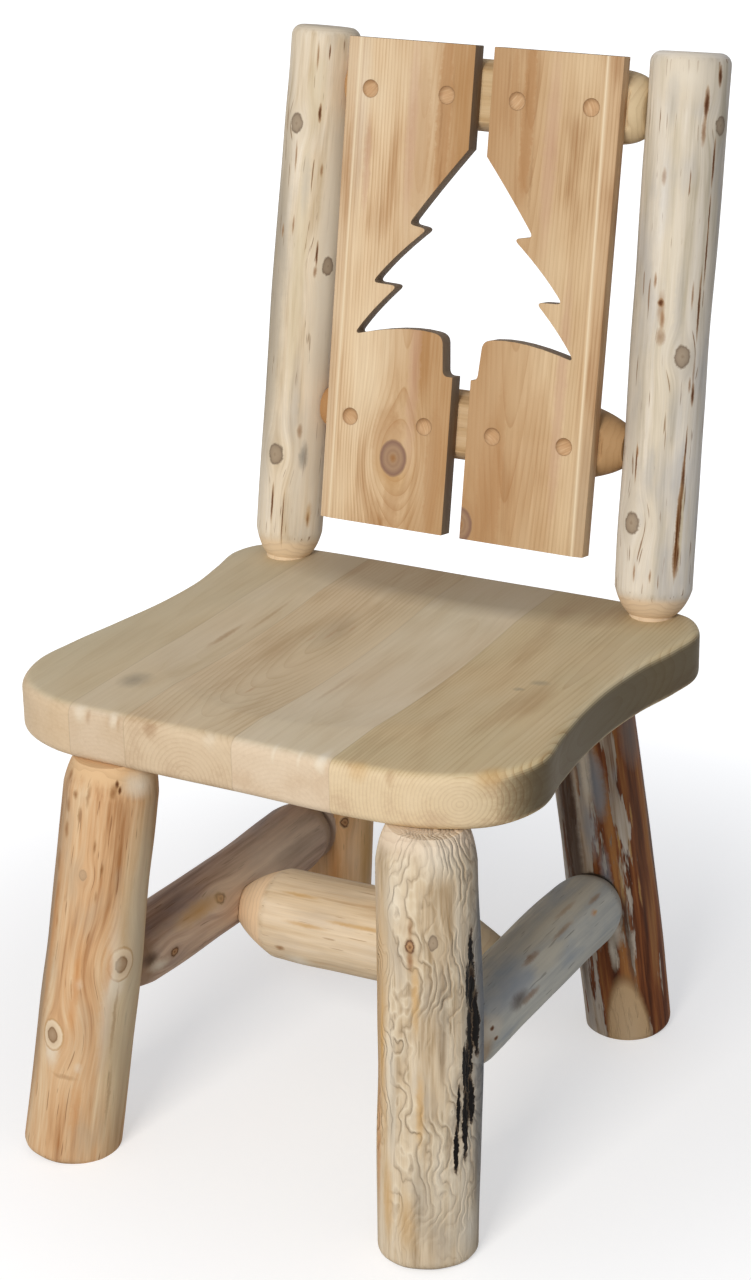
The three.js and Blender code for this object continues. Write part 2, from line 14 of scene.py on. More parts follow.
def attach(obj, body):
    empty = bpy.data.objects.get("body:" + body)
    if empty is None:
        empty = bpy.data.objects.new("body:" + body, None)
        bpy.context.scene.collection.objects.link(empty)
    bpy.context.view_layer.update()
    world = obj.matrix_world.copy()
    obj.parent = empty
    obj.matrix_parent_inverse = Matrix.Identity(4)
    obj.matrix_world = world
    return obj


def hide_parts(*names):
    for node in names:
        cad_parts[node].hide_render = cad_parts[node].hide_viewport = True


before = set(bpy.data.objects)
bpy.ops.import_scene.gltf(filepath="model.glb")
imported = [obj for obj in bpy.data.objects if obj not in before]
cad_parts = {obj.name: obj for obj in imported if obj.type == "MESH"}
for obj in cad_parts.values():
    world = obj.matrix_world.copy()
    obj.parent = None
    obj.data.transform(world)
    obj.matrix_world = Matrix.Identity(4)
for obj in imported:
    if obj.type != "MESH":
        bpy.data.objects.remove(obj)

log = logging.getLogger("log_chair")

Material = bpy.types.Material
Output = bpy.types.NodeSocket
Shape = bmesh.types.BMesh
Pair = tuple[float, float]
Triple = tuple[float, float, float]
Stops = tuple[tuple[float, str, float], ...]

ORIGIN = (0.0, 0.0, 0.0)
FRONT = (0.0, -1.0, 0.0)
REAR = (0.0, 1.0, 0.0)
UP = (0.0, 0.0, 1.0)

# The chair's own measure is in millimetres, with the seat's middle near zero. The row frame's origin lies
# under the middle of the whole chair's box, so everything is carried across by this shift.
MM = 0.001
CHAIR_SHIFT = Vector((6.5955, -30.4695, 0.0))
FLOOR_HEIGHT = 0.0
SEAT_UNDERSIDE = 397.0
SEAT_TOP = 450.0

# Bare and satin-oiled wood breaks up its gloss in open pores, so it mirrors a white room much less than a
# smooth surface does. The metal keeps the shader's own default.
WOOD_SPECULAR = 0.1
METAL_SPECULAR = 0.5

# How finely round shapes are divided, and which of their edges stay crisp. Points this close, in
# millimetres, are one.
CONE_STEPS = 14
HOLE_FACETS = 48
PLUG_FACETS = 40
CRISP_ANGLE = math.radians(35)
EASED_ANGLE = math.radians(40)
MERGE_DISTANCE = 0.001

# A mark's edge is torn over its own half width, but over no more than this. A mark on a log goes at least
# this deep.
WIDEST_TATTER = 7.0
SHALLOWEST_MARK = 24.0

# The logs' growth rings in millimetres, and the tone of the late wood in them.
LOG_RING_WIDTH = 3.1
LATE_WOOD = "#8d6238"

# The wrinkles of the weathered leg: how many go round it, and the tones and depths from one crest to the
# next. The tones are painted light on the crests and painted shade in the grooves.
WRINKLES_ROUND = 30
WRINKLE_LIGHT_AND_SHADE = (
    (0.0, "#efe3ca", 0.6), (0.3, "#d8c6a4", 0.1), (0.56, "#b09a7c", 0.3), (0.7, "#8a755a", 0.8),
    (0.82, "#b09c80", 0.4), (1.0, "#efe3ca", 0.6),
)
WRINKLE_DEPTHS = (
    (0.0, "#ffffff", 1.0), (0.4, "#c8c8c8", 1.0), (0.68, "#202020", 1.0), (0.86, "#e0e0e0", 1.0),
    (1.0, "#ffffff", 1.0),
)

# How much late wood shows from the start of one of a board's growth rings to its end.
LATE_WOOD_SHARE = (
    (0.0, "#000000", 1.0), (0.97, "#ffffff", 1.0), (0.5, "#141414", 1.0), (0.88, "#c8c8c8", 1.0),
    (1.0, "#000000", 1.0),
)

# A paler line along a slat's bevel ridge, a painted highlight where the ridge catches the light, with a
# darker one beside it, over 24 mm.
RIDGE_HIGHLIGHT_TONES = (
    (0.0, "#a87c58", 0.0), (0.5, "#f4e2c2", 0.9), (0.26, "#b08a68", 0.0), (0.34, "#b48e6c", 0.28),
    (0.41, "#d8ba92", 0.0), (0.56, "#ecd6b4", 0.5), (0.64, "#c49c78", 0.25), (1.0, "#c8a280", 0.18),
)
# The darker tone of a slat's sawn edges: partly the rough sawn wood, partly painted shade on the walls of the
# tree's cut.
SAWN_EDGE_SHADE_TONE = "#786552"
PLUG_TONES = ((0.3, "#c09870", 1.0), (0.7, "#d6b48c", 1.0), (0.5, "#cba57c", 1.0))
# The painted shade round a plug's rim, heaviest at its upper left.
PLUG_RIM_SHADE = "#7e552f"


def place(x: float, y: float, z: float) -> Vector:
    """Carry a point from the chair's own measure to the row frame.

    Args:
        x, y, z: The point in millimetres.

    Returns:
        The same point in metres.
    """
    return (Vector((x, y, z)) + CHAIR_SHIFT) * MM


def linear(colour: str) -> tuple[float, float, float, float]:
    """Turn an sRGB hex colour into the linear colour that a shader works with.

    Args:
        colour: The colour as #rrggbb.

    Returns:
        Red, green, blue and alpha.
    """
    parts = [int(colour[start : start + 2], 16) / 255 for start in (1, 3, 5)]
    steps = [part / 12.92 if part <= 0.04045 else ((part + 0.055) / 1.055) ** 2.4 for part in parts]
    return (*steps, 1.0)


def smooth_step(low: float, high: float, value: float) -> float:
    """Rise smoothly from 0 at low to 1 at high."""
    share = min(max((value - low) / (high - low), 0.0), 1.0)
    return share * share * (3 - 2 * share)


def quarter_turn(steps: int) -> list[float]:
    """The angles of a quarter of a circle from 0 on, in radians."""
    return [math.pi / 2 * step / steps for step in range(steps + 1)]


def curve_points(first: Vector, control: Vector, last: Vector, steps: int) -> list[Vector]:
    """Points along a curve from first to last that is drawn towards one control point."""
    shares = [step / steps for step in range(steps + 1)]
    return [first * (1 - t) ** 2 + control * 2 * t * (1 - t) + last * t * t for t in shares]


class Step(Enum):
    """A step of a material: its kind of node, settings, inputs in order and the output that is used.

    The mixing node has sockets for several kinds of value: inputs 6 and 7 and output 2 are those for colour.
    """

    HERE = ("TexCoord", {}, (), "Object")
    NOISE = ("TexNoise", {}, ("Vector", "Scale", "Detail", "Roughness"), "Fac")
    NOISE_VECTOR = ("TexNoise", {}, ("Vector", "Scale", "Detail", "Roughness"), "Color")
    STRETCH = ("Mapping", {}, ("Vector", "Scale", "Location"), 0)
    CENTRE = ("Mapping", {"vector_type": "TEXTURE"}, ("Vector", "Location", "Rotation", "Scale"), 0)
    RANGE = ("MapRange", {}, ("Value", "From Min", "From Max", "To Min", "To Max"), 0)
    ADD = ("Math", {"operation": "ADD"}, (0, 1), 0)
    SUBTRACT = ("Math", {"operation": "SUBTRACT"}, (0, 1), 0)
    MULTIPLY = ("Math", {"operation": "MULTIPLY"}, (0, 1), 0)
    DIVIDE = ("Math", {"operation": "DIVIDE"}, (0, 1), 0)
    MAXIMUM = ("Math", {"operation": "MAXIMUM"}, (0, 1), 0)
    ARCTAN2 = ("Math", {"operation": "ARCTAN2"}, (0, 1), 0)
    ABSOLUTE = ("Math", {"operation": "ABSOLUTE"}, (0,), 0)
    EXPONENT = ("Math", {"operation": "EXPONENT"}, (0,), 0)
    FRACT = ("Math", {"operation": "FRACT"}, (0,), 0)
    SHIFT = ("VectorMath", {"operation": "ADD"}, (0, 1), 0)
    SHIFT_BACK = ("VectorMath", {"operation": "SUBTRACT"}, (0, 1), 0)
    FLATTEN = ("VectorMath", {"operation": "MULTIPLY"}, (0, 1), 0)
    GROW = ("VectorMath", {"operation": "SCALE"}, (0, "Scale"), 0)
    LENGTH = ("VectorMath", {"operation": "LENGTH"}, (0,), "Value")
    DOT = ("VectorMath", {"operation": "DOT_PRODUCT"}, (0, 1), "Value")
    ALONG_X = ("SeparateXYZ", {}, (0,), "X")
    ALONG_Y = ("SeparateXYZ", {}, (0,), "Y")
    MIX = ("Mix", {"data_type": "RGBA"}, (0, 6, 7), 2)
    TINT = ("Mix", {"data_type": "RGBA", "blend_type": "MULTIPLY"}, (0, 6, 7), 2)


class Sketch:
    """One material's or world's nodes, added one at a time and linked as they are added."""

    def __init__(self, name: str, owner: Material | bpy.types.World | None = None) -> None:
        """Start an empty material, or empty a world.

        Args:
            name: What the real material is.
            owner: The world to fill in place of a new material.
        """
        self.material = owner or bpy.data.materials.new(name)
        self.material.use_nodes = True
        self.tree = self.material.node_tree
        self.tree.nodes.clear()

    def add(
        self, kind: str, inputs: dict | None = None, stops: Stops = (), **settings: object
    ) -> bpy.types.Node:
        """Add a node with its settings and links.

        Args:
            kind: The node's type, without the ShaderNode that they all start with.
            inputs: A value, a hex colour or another node's output for each input, by name or number.
            stops: A ramp's stops, each a position, a hex colour and how much it covers.
            settings: The node's own properties.

        Returns:
            The new node.
        """
        node = self.tree.nodes.new("ShaderNode" + kind)
        for name, value in settings.items():
            setattr(node, name, value)
        for number, (position, colour, cover) in enumerate(stops):
            elements = node.color_ramp.elements
            element = elements[number] if number < 2 else elements.new(position)
            element.position = position
            element.color = (*linear(colour)[:3], cover)
        for socket, value in (inputs or {}).items():
            if isinstance(value, Output):
                self.tree.links.new(value, node.inputs[socket])
            else:
                node.inputs[socket].default_value = linear(value) if isinstance(value, str) else value
        return node

    def run(self, step: Step, *values: object) -> Output:
        """Add one step, with a value, hex colour or output for each of its inputs, and give its output."""
        kind, settings, sockets, output = step.value
        return self.add(kind, dict(zip(sockets, values)), **settings).outputs[output]

    def weighted(self, *parts: tuple[Output, float]) -> Output:
        """Add up several fields, each times its weight."""
        products = []
        for field, weight in parts:
            products.append(field if weight == 1 else self.run(Step.MULTIPLY, field, weight))
        total = products[0]
        for product in products[1:]:
            total = self.run(Step.ADD, total, product)
        return total

    def drawn_noise(
        self,
        position: Output,
        waves: Triple,
        detail: float = 2.0,
        roughness: float = 0.5,
        start: Triple = ORIGIN,
    ) -> Output:
        """Noise that is drawn out along the grain.

        Args:
            position: Where a point is, in metres.
            waves: How many waves go into a metre along each axis, fewest along the grain.
            detail: How many finer layers of waves lie over them.
            roughness: How strong those layers are.
            start: Where the pattern starts.

        Returns:
            The noise, from 0 to 1.
        """
        return self.run(Step.NOISE, self.run(Step.STRETCH, position, waves, start), 1.0, detail, roughness)

    def finish(
        self, colour: object, roughness: object, height: Output, depth: float, **sockets: float
    ) -> Material:
        """Close the material with a shader.

        Args:
            colour: The surface's colour.
            roughness: Its roughness.
            height: The relief, from 0 to 1.
            depth: How deep that relief is, in millimetres.
            sockets: Other inputs of the shader, by name with underscores for spaces.

        Returns:
            The finished material.
        """
        bump = self.add("Bump", {"Height": height, "Strength": 1.0, "Distance": depth * MM})
        inputs = {"Base Color": colour, "Roughness": roughness, "Normal": bump.outputs[0]}
        inputs["Specular IOR Level"] = WOOD_SPECULAR
        inputs |= {name.replace("_", " "): value for name, value in sockets.items()}
        shader = self.add("BsdfPrincipled", inputs)
        self.add("OutputMaterial", {"Surface": shader.outputs[0]})
        return self.material


class MarkKind(Enum):
    """What can mark a log or board, and light and shade painted on some, as rings of colour from its middle
    out: position, colour and cover.
    """

    KNOT = (
        (0.0, "#8c7860", 0.9), (0.22, "#a5927b", 0.88), (0.62, "#9a8771", 0.88), (0.82, "#7c6b59", 0.92),
        (0.92, "#a08f79", 0.5), (1.0, "#b5a58f", 0.0),
    )
    DARK_KNOT = (
        (0.0, "#6b4428", 1.0), (0.35, "#b58a60", 0.9), (0.62, "#5d4030", 1.0), (0.8, "#a08263", 0.6),
        (1.0, "#b5a58f", 0.0),
    )
    EYE = (
        (0.0, "#b0967a", 1.0), (0.3, "#a58a6c", 1.0), (0.42, "#8d7052", 1.0), (0.5, "#d8c0a0", 1.0),
        (0.8, "#e4cfb0", 1.0), (0.93, "#b8905f", 0.7), (1.0, "#b08a5c", 0.0),
    )
    RED_KNOT = (
        (0.0, "#96683f", 1.0), (0.14, "#a1764e", 1.0), (0.3, "#ab8b6c", 1.0), (0.42, "#a08066", 1.0),
        (0.56, "#ab8c70", 1.0), (0.7, "#9e7f68", 1.0), (0.84, "#8e6f5e", 1.0), (0.93, "#9c7c64", 0.8),
        (1.0, "#b89876", 0.0),
    )
    FACET = ((0.0, "#dcc09a", 1.0), (0.8, "#cfae84", 1.0), (0.93, "#9a7650", 0.7), (1.0, "#8a6848", 0.0))
    # A greyish dark tone: smudges on the seat, and painted shade on flanks of logs and on a slat's bevel.
    SHADE = ((0.0, "#8f8474", 0.55), (0.5, "#988c78", 0.4), (1.0, "#a89a80", 0.0))
    RUST = ((0.0, "#a8673f", 0.8), (0.5, "#b47c56", 0.5), (1.0, "#c49a74", 0.0))
    HEART = ((0.0, "#b08458", 0.75), (0.75, "#b88c60", 0.6), (1.0, "#c8a27a", 0.0))
    ROSE = ((0.0, "#c39a84", 0.5), (0.6, "#c8a288", 0.35), (1.0, "#d4b496", 0.0))
    CHECK = ((0.0, "#562f19", 1.0), (0.45, "#6d4526", 0.95), (0.8, "#a9825a", 0.6), (1.0, "#c9ab84", 0.0))
    FISSURE = ((0.0, "#080605", 1.0), (0.74, "#0f0a07", 1.0), (0.86, "#4c3a2b", 0.85), (1.0, "#b8a488", 0.0))
    STRAW = ((0.0, "#ddd0b2", 0.8), (0.6, "#d6c6a4", 0.6), (1.0, "#c8b48c", 0.0))
    SEPIA = ((0.0, "#8a6038", 0.7), (0.6, "#93683f", 0.45), (1.0, "#a67c54", 0.0))
    # Painted bluish shade, for a flank that turns away from the light.
    SLATE_SHADE = ((0.0, "#5f666e", 0.9), (0.6, "#70757a", 0.65), (1.0, "#8a8680", 0.0))
    BLUISH = ((0.0, "#9aa0a8", 0.6), (0.6, "#a4a6a8", 0.4), (1.0, "#b4b0a8", 0.0))
    BROWN = ((0.0, "#8a5c34", 0.85), (0.5, "#a0764c", 0.65), (1.0, "#b8946a", 0.0))
    OCHRE = ((0.0, "#c79a55", 0.7), (0.5, "#cda468", 0.5), (1.0, "#d8b988", 0.0))
    ORANGE = ((0.0, "#c8874a", 0.6), (0.5, "#cd935a", 0.4), (1.0, "#d8a878", 0.0))
    # Pale wood; on the left post's flanks and foot the same tone is painted light.
    PALE = ((0.0, "#ece2cf", 0.85), (0.5, "#e6dac4", 0.6), (1.0, "#e0d0b4", 0.0))
    GREY = ((0.0, "#7f7b76", 0.75), (0.5, "#8d8880", 0.5), (1.0, "#a8a097", 0.0))
    DARK = ((0.0, "#4e3d31", 0.8), (0.5, "#5e4c3f", 0.55), (1.0, "#7a675a", 0.0))


# A short name for the tables of marks.
K = MarkKind


@dataclass(frozen=True)
class Mark:
    """One mark on a log: its middle, its half length along the grain and its half width, in millimetres."""

    kind: MarkKind
    along: float
    around: float
    half_length: float
    half_width: float
    lump: float = 0.0
    ragged: float = 1.0
    cover: float = 1.0


@dataclass(frozen=True)
class BoardMark:
    """One mark on a board: its middle across it and along its grain, and its half sizes, in millimetres."""

    kind: MarkKind
    across: float
    along: float
    half_length: float
    half_width: float
    ragged: float = 1.0
    cover: float = 1.0


def lay_mark(
    sketch: Sketch, colour: Output, position: Output, mark: Mark | BoardMark, middle: Vector, size: Vector,
    turn: float = 0.0,
) -> Output:
    """Lay one mark over a wood, ragged at its edge.

    Args:
        sketch: The material.
        colour: The wood's colour.
        position: Where a point is, in the mark's own frame and in metres.
        mark: The mark.
        middle: The mark's middle, in millimetres.
        size: The mark's half sizes, in millimetres.
        turn: How far the mark is turned about the frame's third axis.

    Returns:
        The marked colour.
    """
    tatters = sketch.run(Step.NOISE_VECTOR, position, 120.0, 4.0, 0.7)
    either_way = sketch.run(Step.SHIFT_BACK, tatters, (0.5, 0.5, 0.5))
    reach = min(mark.half_width, WIDEST_TATTER) * MM * mark.ragged
    moved = sketch.run(Step.SHIFT, position, sketch.run(Step.GROW, either_way, reach))
    local = sketch.run(Step.CENTRE, moved, middle * MM, (0.0, 0.0, turn), size * MM)
    rings = sketch.add("ValToRGB", {"Fac": sketch.run(Step.LENGTH, local)}, mark.kind.value).outputs
    cover = sketch.run(Step.MULTIPLY, rings["Alpha"], mark.cover)
    return sketch.run(Step.MIX, cover, colour, rings["Color"])


@dataclass(frozen=True)
class LogFinish:
    """The finish of one log: wood tones from its sapwood to its darkest streaks, and what marks it."""

    name: str
    light: str
    middle: str
    dark: str
    fleck: str
    start_tone: str = "#cfa67a"
    end_tone: str = "#cfa67a"
    scoop: str = "#ddd0be"
    haze: str = "#b9ab9c"
    haze_cover: float = 0.3
    fleck_cover: float = 0.5
    roughness: float = 0.66
    furrow_cover: float = 0.0
    bark_cover: float = 0.0
    bark: str = "#8a5838"
    relief: float = 0.5


@dataclass(frozen=True)
class LogAxis:
    """The line that a log grew along, and the side that its zero angle faces."""

    start: Triple
    end: Triple
    facing: Triple

    def length(self) -> float:
        """The log's length in millimetres."""
        return (Vector(self.end) - Vector(self.start)).length

    def matrix(self) -> Matrix:
        """The log's own frame in the row frame: x faces its zero angle and z runs along it."""
        upward = (Vector(self.end) - Vector(self.start)).normalized()
        facing = Vector(self.facing)
        facing = (facing - upward * facing.dot(upward)).normalized()
        turn = Matrix((facing, upward.cross(facing), upward)).transposed().to_4x4()
        return Matrix.Translation(place(*self.start)) @ turn


class EndShape(Enum):
    """How a log ends."""

    SAWN_FOOT = "sawn level at the floor, with its edge eased"
    NECK = "coned or domed to a neck"
    ROUNDED = "cut square, with its edge rounded over"


@dataclass(frozen=True)
class LogEnd:
    """The end of a log: its neck's radius, how far the shaping reaches and how full it swells, 0 for a cone.

    It starts at its setback from the end of the log's axis, and may go on beyond its neck.
    """

    shape: EndShape
    neck: float = 0.0
    reach: float = 9.0
    fullness: float = 0.0
    beyond: float = 0.0
    setback: float = 0.0

    def profile(self, full: float) -> list[Vector]:
        """The end as (radius, distance from its shoulder), from the axis out to the full log.

        Args:
            full: The log's radius where the shaping ends.
        """
        if self.shape is EndShape.NECK:
            middle = Vector(((self.neck + full) / 2, self.reach / 2))
            control = middle.lerp(Vector((full, 0.0)), self.fullness)
            curve = curve_points(Vector((self.neck, 0.0)), control, Vector((full, self.reach)), CONE_STEPS)
            return [Vector((0.0, -self.beyond)), Vector((self.neck, -self.beyond)), *curve]
        rise = -self.reach / 2 if self.shape is EndShape.SAWN_FOOT else 0.0
        points = [Vector((0.0, rise))]
        for turn in quarter_turn(6):
            inset, up = self.reach * (1 - math.sin(turn)), self.reach * (1 - math.cos(turn))
            points.append(Vector((full - inset, rise + up)))
        return points


@dataclass(frozen=True)
class Socket:
    """The scoop in a log that takes another log's end."""

    centre: Triple
    towards: Triple
    end: LogEnd
    full: float
    gap: float = 2.2

    def carve(self, point: Vector) -> tuple[Vector, float]:
        """Push a point of the log's surface down to the scoop, where it lies above it.

        Args:
            point: A point of the surface, in millimetres.

        Returns:
            The point, and how much of it is scooped wood.
        """
        direction = (Vector(self.towards) - Vector(self.centre)).normalized()
        offset = point - Vector(self.centre)
        height = offset.dot(direction)
        radius = (offset - direction * height).length - self.gap
        if height <= 0 or radius >= self.full:
            return point, 0.0
        profile = self.end.profile(self.full)[2:]
        floor = self.end.setback
        for inner, outer in zip(profile, profile[1:]):
            if inner.x <= radius < outer.x:
                floor += inner.y + (outer.y - inner.y) * (radius - inner.x) / (outer.x - inner.x)
        if height <= floor:
            return point, 0.0
        return point - direction * (height - floor), min(height - floor, 1.0)


@dataclass
class PeeledLog:
    """One log of the chair: its axis, girth and ends, and how it was finished."""

    node: str
    slot: str
    axis: LogAxis
    radii: Triple
    start_end: LogEnd
    finish_end: LogEnd
    finish: LogFinish
    bow: float = 0.0
    marks: tuple[Mark, ...] = ()
    sockets: tuple[Socket, ...] = ()
    swell: float = 1.2
    turns: int = 132
    ring_gap: float = 2.4
    levels: tuple[tuple[float, int], ...] = ()
    milled: bool = False

    def radius_at(self, share: float) -> float:
        """The girth's radius at a share of the length, through the start, middle and end radii."""
        start, middle, end = self.radii
        near_start = (1 - share) * (1 - 2 * share)
        near_middle = 4 * share * (1 - share)
        return start * near_start + middle * near_middle + end * share * (2 * share - 1)

    def profile(self) -> list[Vector]:
        """Half of the outline as (radius, distance along), from the axis at one end to that at the other."""
        length = self.axis.length()
        first, last = self.start_end, self.finish_end
        start = first.profile(self.radius_at(first.reach / length))
        start = [point + Vector((0, first.setback)) for point in start]
        finish = last.profile(self.radius_at(1 - last.reach / length))
        finish = [point + Vector((0, last.setback)) for point in finish]
        low, high = start[-1].y, length - finish[-1].y
        rings = round((high - low) / self.ring_gap)
        body = [low + (high - low) * ring / rings for ring in range(1, rings)]
        middle = [Vector((self.radius_at(along / length), along)) for along in body]
        corners = [*start, *middle, *[Vector((point.x, length - point.y)) for point in reversed(finish)]]
        points = [corners[0]]
        for corner in corners[1:]:
            before = points[-1]
            steps = max(round((corner - before).length / self.ring_gap), 1)
            points.extend(before.lerp(corner, step / steps) for step in range(1, steps + 1))
        return points

    def shaped(self, along: float, angle: float, radius: float) -> float:
        """The log's radius at one place once its natural swellings and knots are added.

        Args:
            along: Distance along the log, in millimetres.
            angle: Angle round it, in radians.
            radius: The plain radius there.
        """
        seed = Vector((sum(map(ord, self.node)) * 0.37, 0.0, 0.0))
        around = Vector((math.cos(angle) * radius, math.sin(angle) * radius, along))
        broad = noise.noise(Vector((around.x / 55, around.y / 55, along / 110)) + seed)
        fine = noise.noise(Vector((around.x / 16, around.y / 16, along / 60)) + seed)
        shrink = 0.4 + 0.3 * self.swell
        grown = radius + (self.swell * (broad + 0.35 * fine) - shrink) * min(radius / 30, 1.0) ** 2
        for mark in self.marks:
            if mark.lump:
                away = math.remainder(angle - math.radians(mark.around), math.tau)
                across = radius * away / (mark.half_width * 1.6)
                up = (along - mark.along) / (mark.half_length * 1.3)
                grown += mark.lump * math.exp(-across * across - up * up)
        return grown

    def grain_turn(self, along: float, angle: float, radius: float) -> float:
        """How far the grain is pushed round the log beside its knots, in radians."""
        turn = 0.0
        for mark in self.marks:
            if mark.kind in (MarkKind.KNOT, MarkKind.DARK_KNOT, MarkKind.EYE):
                away = math.remainder(angle - math.radians(mark.around), math.tau)
                across = radius * away / (mark.half_width * 2.0)
                up = (along - mark.along) / (mark.half_length * 2.0)
                turn -= away * math.exp(-across * across - up * up)
        return turn

    def build(self) -> bpy.types.Object:
        """Turn, swell, carve and dress the log.

        Returns:
            The finished log, riding on the chair.
        """
        shape = turned_shape([(point.x, 0.0, point.y) for point in self.profile()], UP, self.turns)
        self.grow(shape)
        self.carve_sockets(shape)
        bmesh.ops.transform(shape, matrix=self.axis.matrix() @ Matrix.Scale(MM, 4), verts=shape.verts[:])
        for height, side in self.levels:
            saw(shape, (0, 0, height * MM), (0, 0, side))
        if self.milled:
            mill_flat(shape)
        bmesh.ops.recalc_face_normals(shape, faces=shape.faces[:])
        return settle(shape, self.node + "_peeled", self.material(), self.node)

    def grow(self, shape: Shape) -> None:
        """Swell and bow a turned blank, and note where each point lies in the grain and the end cuts."""
        grain = shape.verts.layers.float_vector.new("grain")
        cuts = shape.verts.layers.float_vector.new("cuts")
        length = self.axis.length()
        for vertex in shape.verts:
            along, angle = vertex.co.z, math.atan2(vertex.co.y, vertex.co.x)
            radius = math.hypot(vertex.co.x, vertex.co.y)
            share = min(max(along / length, 0.0), 1.0)
            turned = angle + self.grain_turn(along, angle, radius)
            vertex[grain] = Vector((math.cos(turned) * radius, math.sin(turned) * radius, along)) * MM
            cut = smooth_step(0.985, 0.9, radius / self.radius_at(share))
            vertex[cuts] = Vector((cut, 0, 0)) if along < length / 2 else Vector((0, cut, 0))
            grown = self.shaped(along, angle, radius) if radius > 0 else 0.0
            bend = self.bow * math.sin(math.pi * share) ** 2
            vertex.co = Vector((math.cos(angle) * grown, math.sin(angle) * grown + bend, along))

    def carve_sockets(self, shape: Shape) -> None:
        """Scoop the log out where other logs end in it, and write how freshly cut each point is."""
        cuts = shape.verts.layers.float_vector["cuts"]
        frame_here = self.axis.matrix()
        back = frame_here.inverted()
        for socket in self.sockets:
            for vertex in shape.verts:
                here = (frame_here @ (vertex.co * MM)) / MM - CHAIR_SHIFT
                carved, share = socket.carve(here)
                if share:
                    vertex.co = (back @ ((carved + CHAIR_SHIFT) * MM)) / MM
                    vertex[cuts].z = share

    def material(self) -> Material:
        """Peeled spruce, dry and matt: streaks along its own grain, fresh cones and scoops, and marks."""
        finish = self.finish
        sketch = Sketch(f"{finish.name}, {self.node}")
        grain = sketch.add("Attribute", attribute_name="grain").outputs["Vector"]
        cuts = sketch.add("Attribute", attribute_name="cuts").outputs["Vector"]
        start, end, scoop = sketch.add("SeparateXYZ", {0: cuts}).outputs
        broad = sketch.drawn_noise(grain, (22.0, 22.0, 3.2), 3.0, 0.6)
        streak = sketch.drawn_noise(grain, (150.0, 150.0, 9.0), 3.0, 0.6)
        fibre = sketch.drawn_noise(grain, (700.0, 700.0, 22.0), 3.0, 0.6)
        haze = sketch.drawn_noise(grain, (26.0, 26.0, 9.0), 3.0, 0.55, (5.0, 2.0, 3.0))
        fleck = sketch.drawn_noise(grain, (360.0, 360.0, 24.0), 1.5, 0.5, (3.0, 1.0, 7.0))
        stops = ((0.37, finish.dark, 1.0), (0.64, finish.light, 1.0), (0.48, finish.middle, 1.0))
        streaked = sketch.weighted((broad, 0.55), (streak, 0.45))
        colour = sketch.add("ValToRGB", {"Fac": streaked}, stops).outputs["Color"]
        cover = sketch.run(Step.RANGE, haze, 0.5, 0.66, 0.0, finish.haze_cover)
        colour = sketch.run(Step.MIX, cover, colour, finish.haze)
        colour = sketch.run(Step.TINT, 1.0, colour, sketch.run(Step.RANGE, fibre, 0.3, 0.7, 0.94, 1.04))
        cover = sketch.run(Step.RANGE, fleck, 0.68, 0.72, 0.0, finish.fleck_cover)
        colour = sketch.run(Step.MIX, cover, colour, finish.fleck)
        height = sketch.weighted((streak, 0.7), (fibre, 0.3))
        if finish.furrow_cover:
            colour, height = self.furrowed(sketch, grain, colour, height)
        if finish.bark_cover:
            colour, height = self.barked(sketch, grain, colour, height)
        for share, tone in ((start, finish.start_tone), (end, finish.end_tone)):
            colour = sketch.run(Step.MIX, share, colour, self.end_grain(sketch, grain, tone))
        colour = self.marked(sketch, sketch.run(Step.MIX, scoop, colour, finish.scoop))
        return sketch.finish(colour, finish.roughness, height, finish.relief)

    def end_grain(self, sketch: Sketch, grain: Output, tone: str) -> Output:
        """Growth rings, where a cut crosses them on a cone or an end."""
        radius = sketch.run(Step.LENGTH, sketch.run(Step.FLATTEN, grain, (1.0, 1.0, 0.02)))
        wander = sketch.run(Step.NOISE, grain, 25.0, 2.0)
        rings = sketch.weighted((sketch.run(Step.DIVIDE, radius, LOG_RING_WIDTH * MM), 1), (wander, 4.0))
        late = sketch.run(Step.RANGE, sketch.run(Step.FRACT, rings), 0.55, 1.0, 0.0, 0.16)
        return sketch.run(Step.MIX, late, tone, LATE_WOOD)

    def marked(self, sketch: Sketch, colour: Output) -> Output:
        """Lay every mark over the wood, each ragged at its edge."""
        frame_here = self.axis.matrix()
        own = sketch.run(Step.CENTRE, sketch.run(Step.HERE), frame_here.translation, frame_here.to_euler())
        for mark in self.marks:
            turned = math.radians(mark.around)
            radius = self.radius_at(min(max(mark.along / self.axis.length(), 0.0), 1.0))
            middle = Vector((math.cos(turned) * radius, math.sin(turned) * radius, mark.along))
            size = Vector((max(mark.half_width * 2, SHALLOWEST_MARK), mark.half_width, mark.half_length))
            colour = lay_mark(sketch, colour, own, mark, middle, size, turned)
        return colour

    def furrowed(
        self, sketch: Sketch, grain: Output, colour: Output, height: Output
    ) -> tuple[Output, Output]:
        """Winding wrinkles along the log, as on a trunk that grew under tight bark: soft ridges side by side,
        with painted light on their crests and painted shade between them.

        Args:
            sketch: The material.
            grain: Where a point lies in the grain.
            colour, height: The wood's colour and relief so far.

        Returns:
            The colour and relief with the wrinkles.
        """
        east, north, along = sketch.add("SeparateXYZ", {0: grain}).outputs
        turn = sketch.run(Step.ARCTAN2, north, east)
        warps = (((15.0, 15.0, 10.0), 9.0), ((42.0, 42.0, 26.0), 4.4), ((110.0, 110.0, 66.0), 1.5))
        bends = [(sketch.drawn_noise(grain, waves, 1.5, 0.5, waves), reach) for waves, reach in warps]
        lines = sketch.run(Step.FRACT, sketch.weighted((turn, WRINKLES_ROUND / math.tau), *bends))
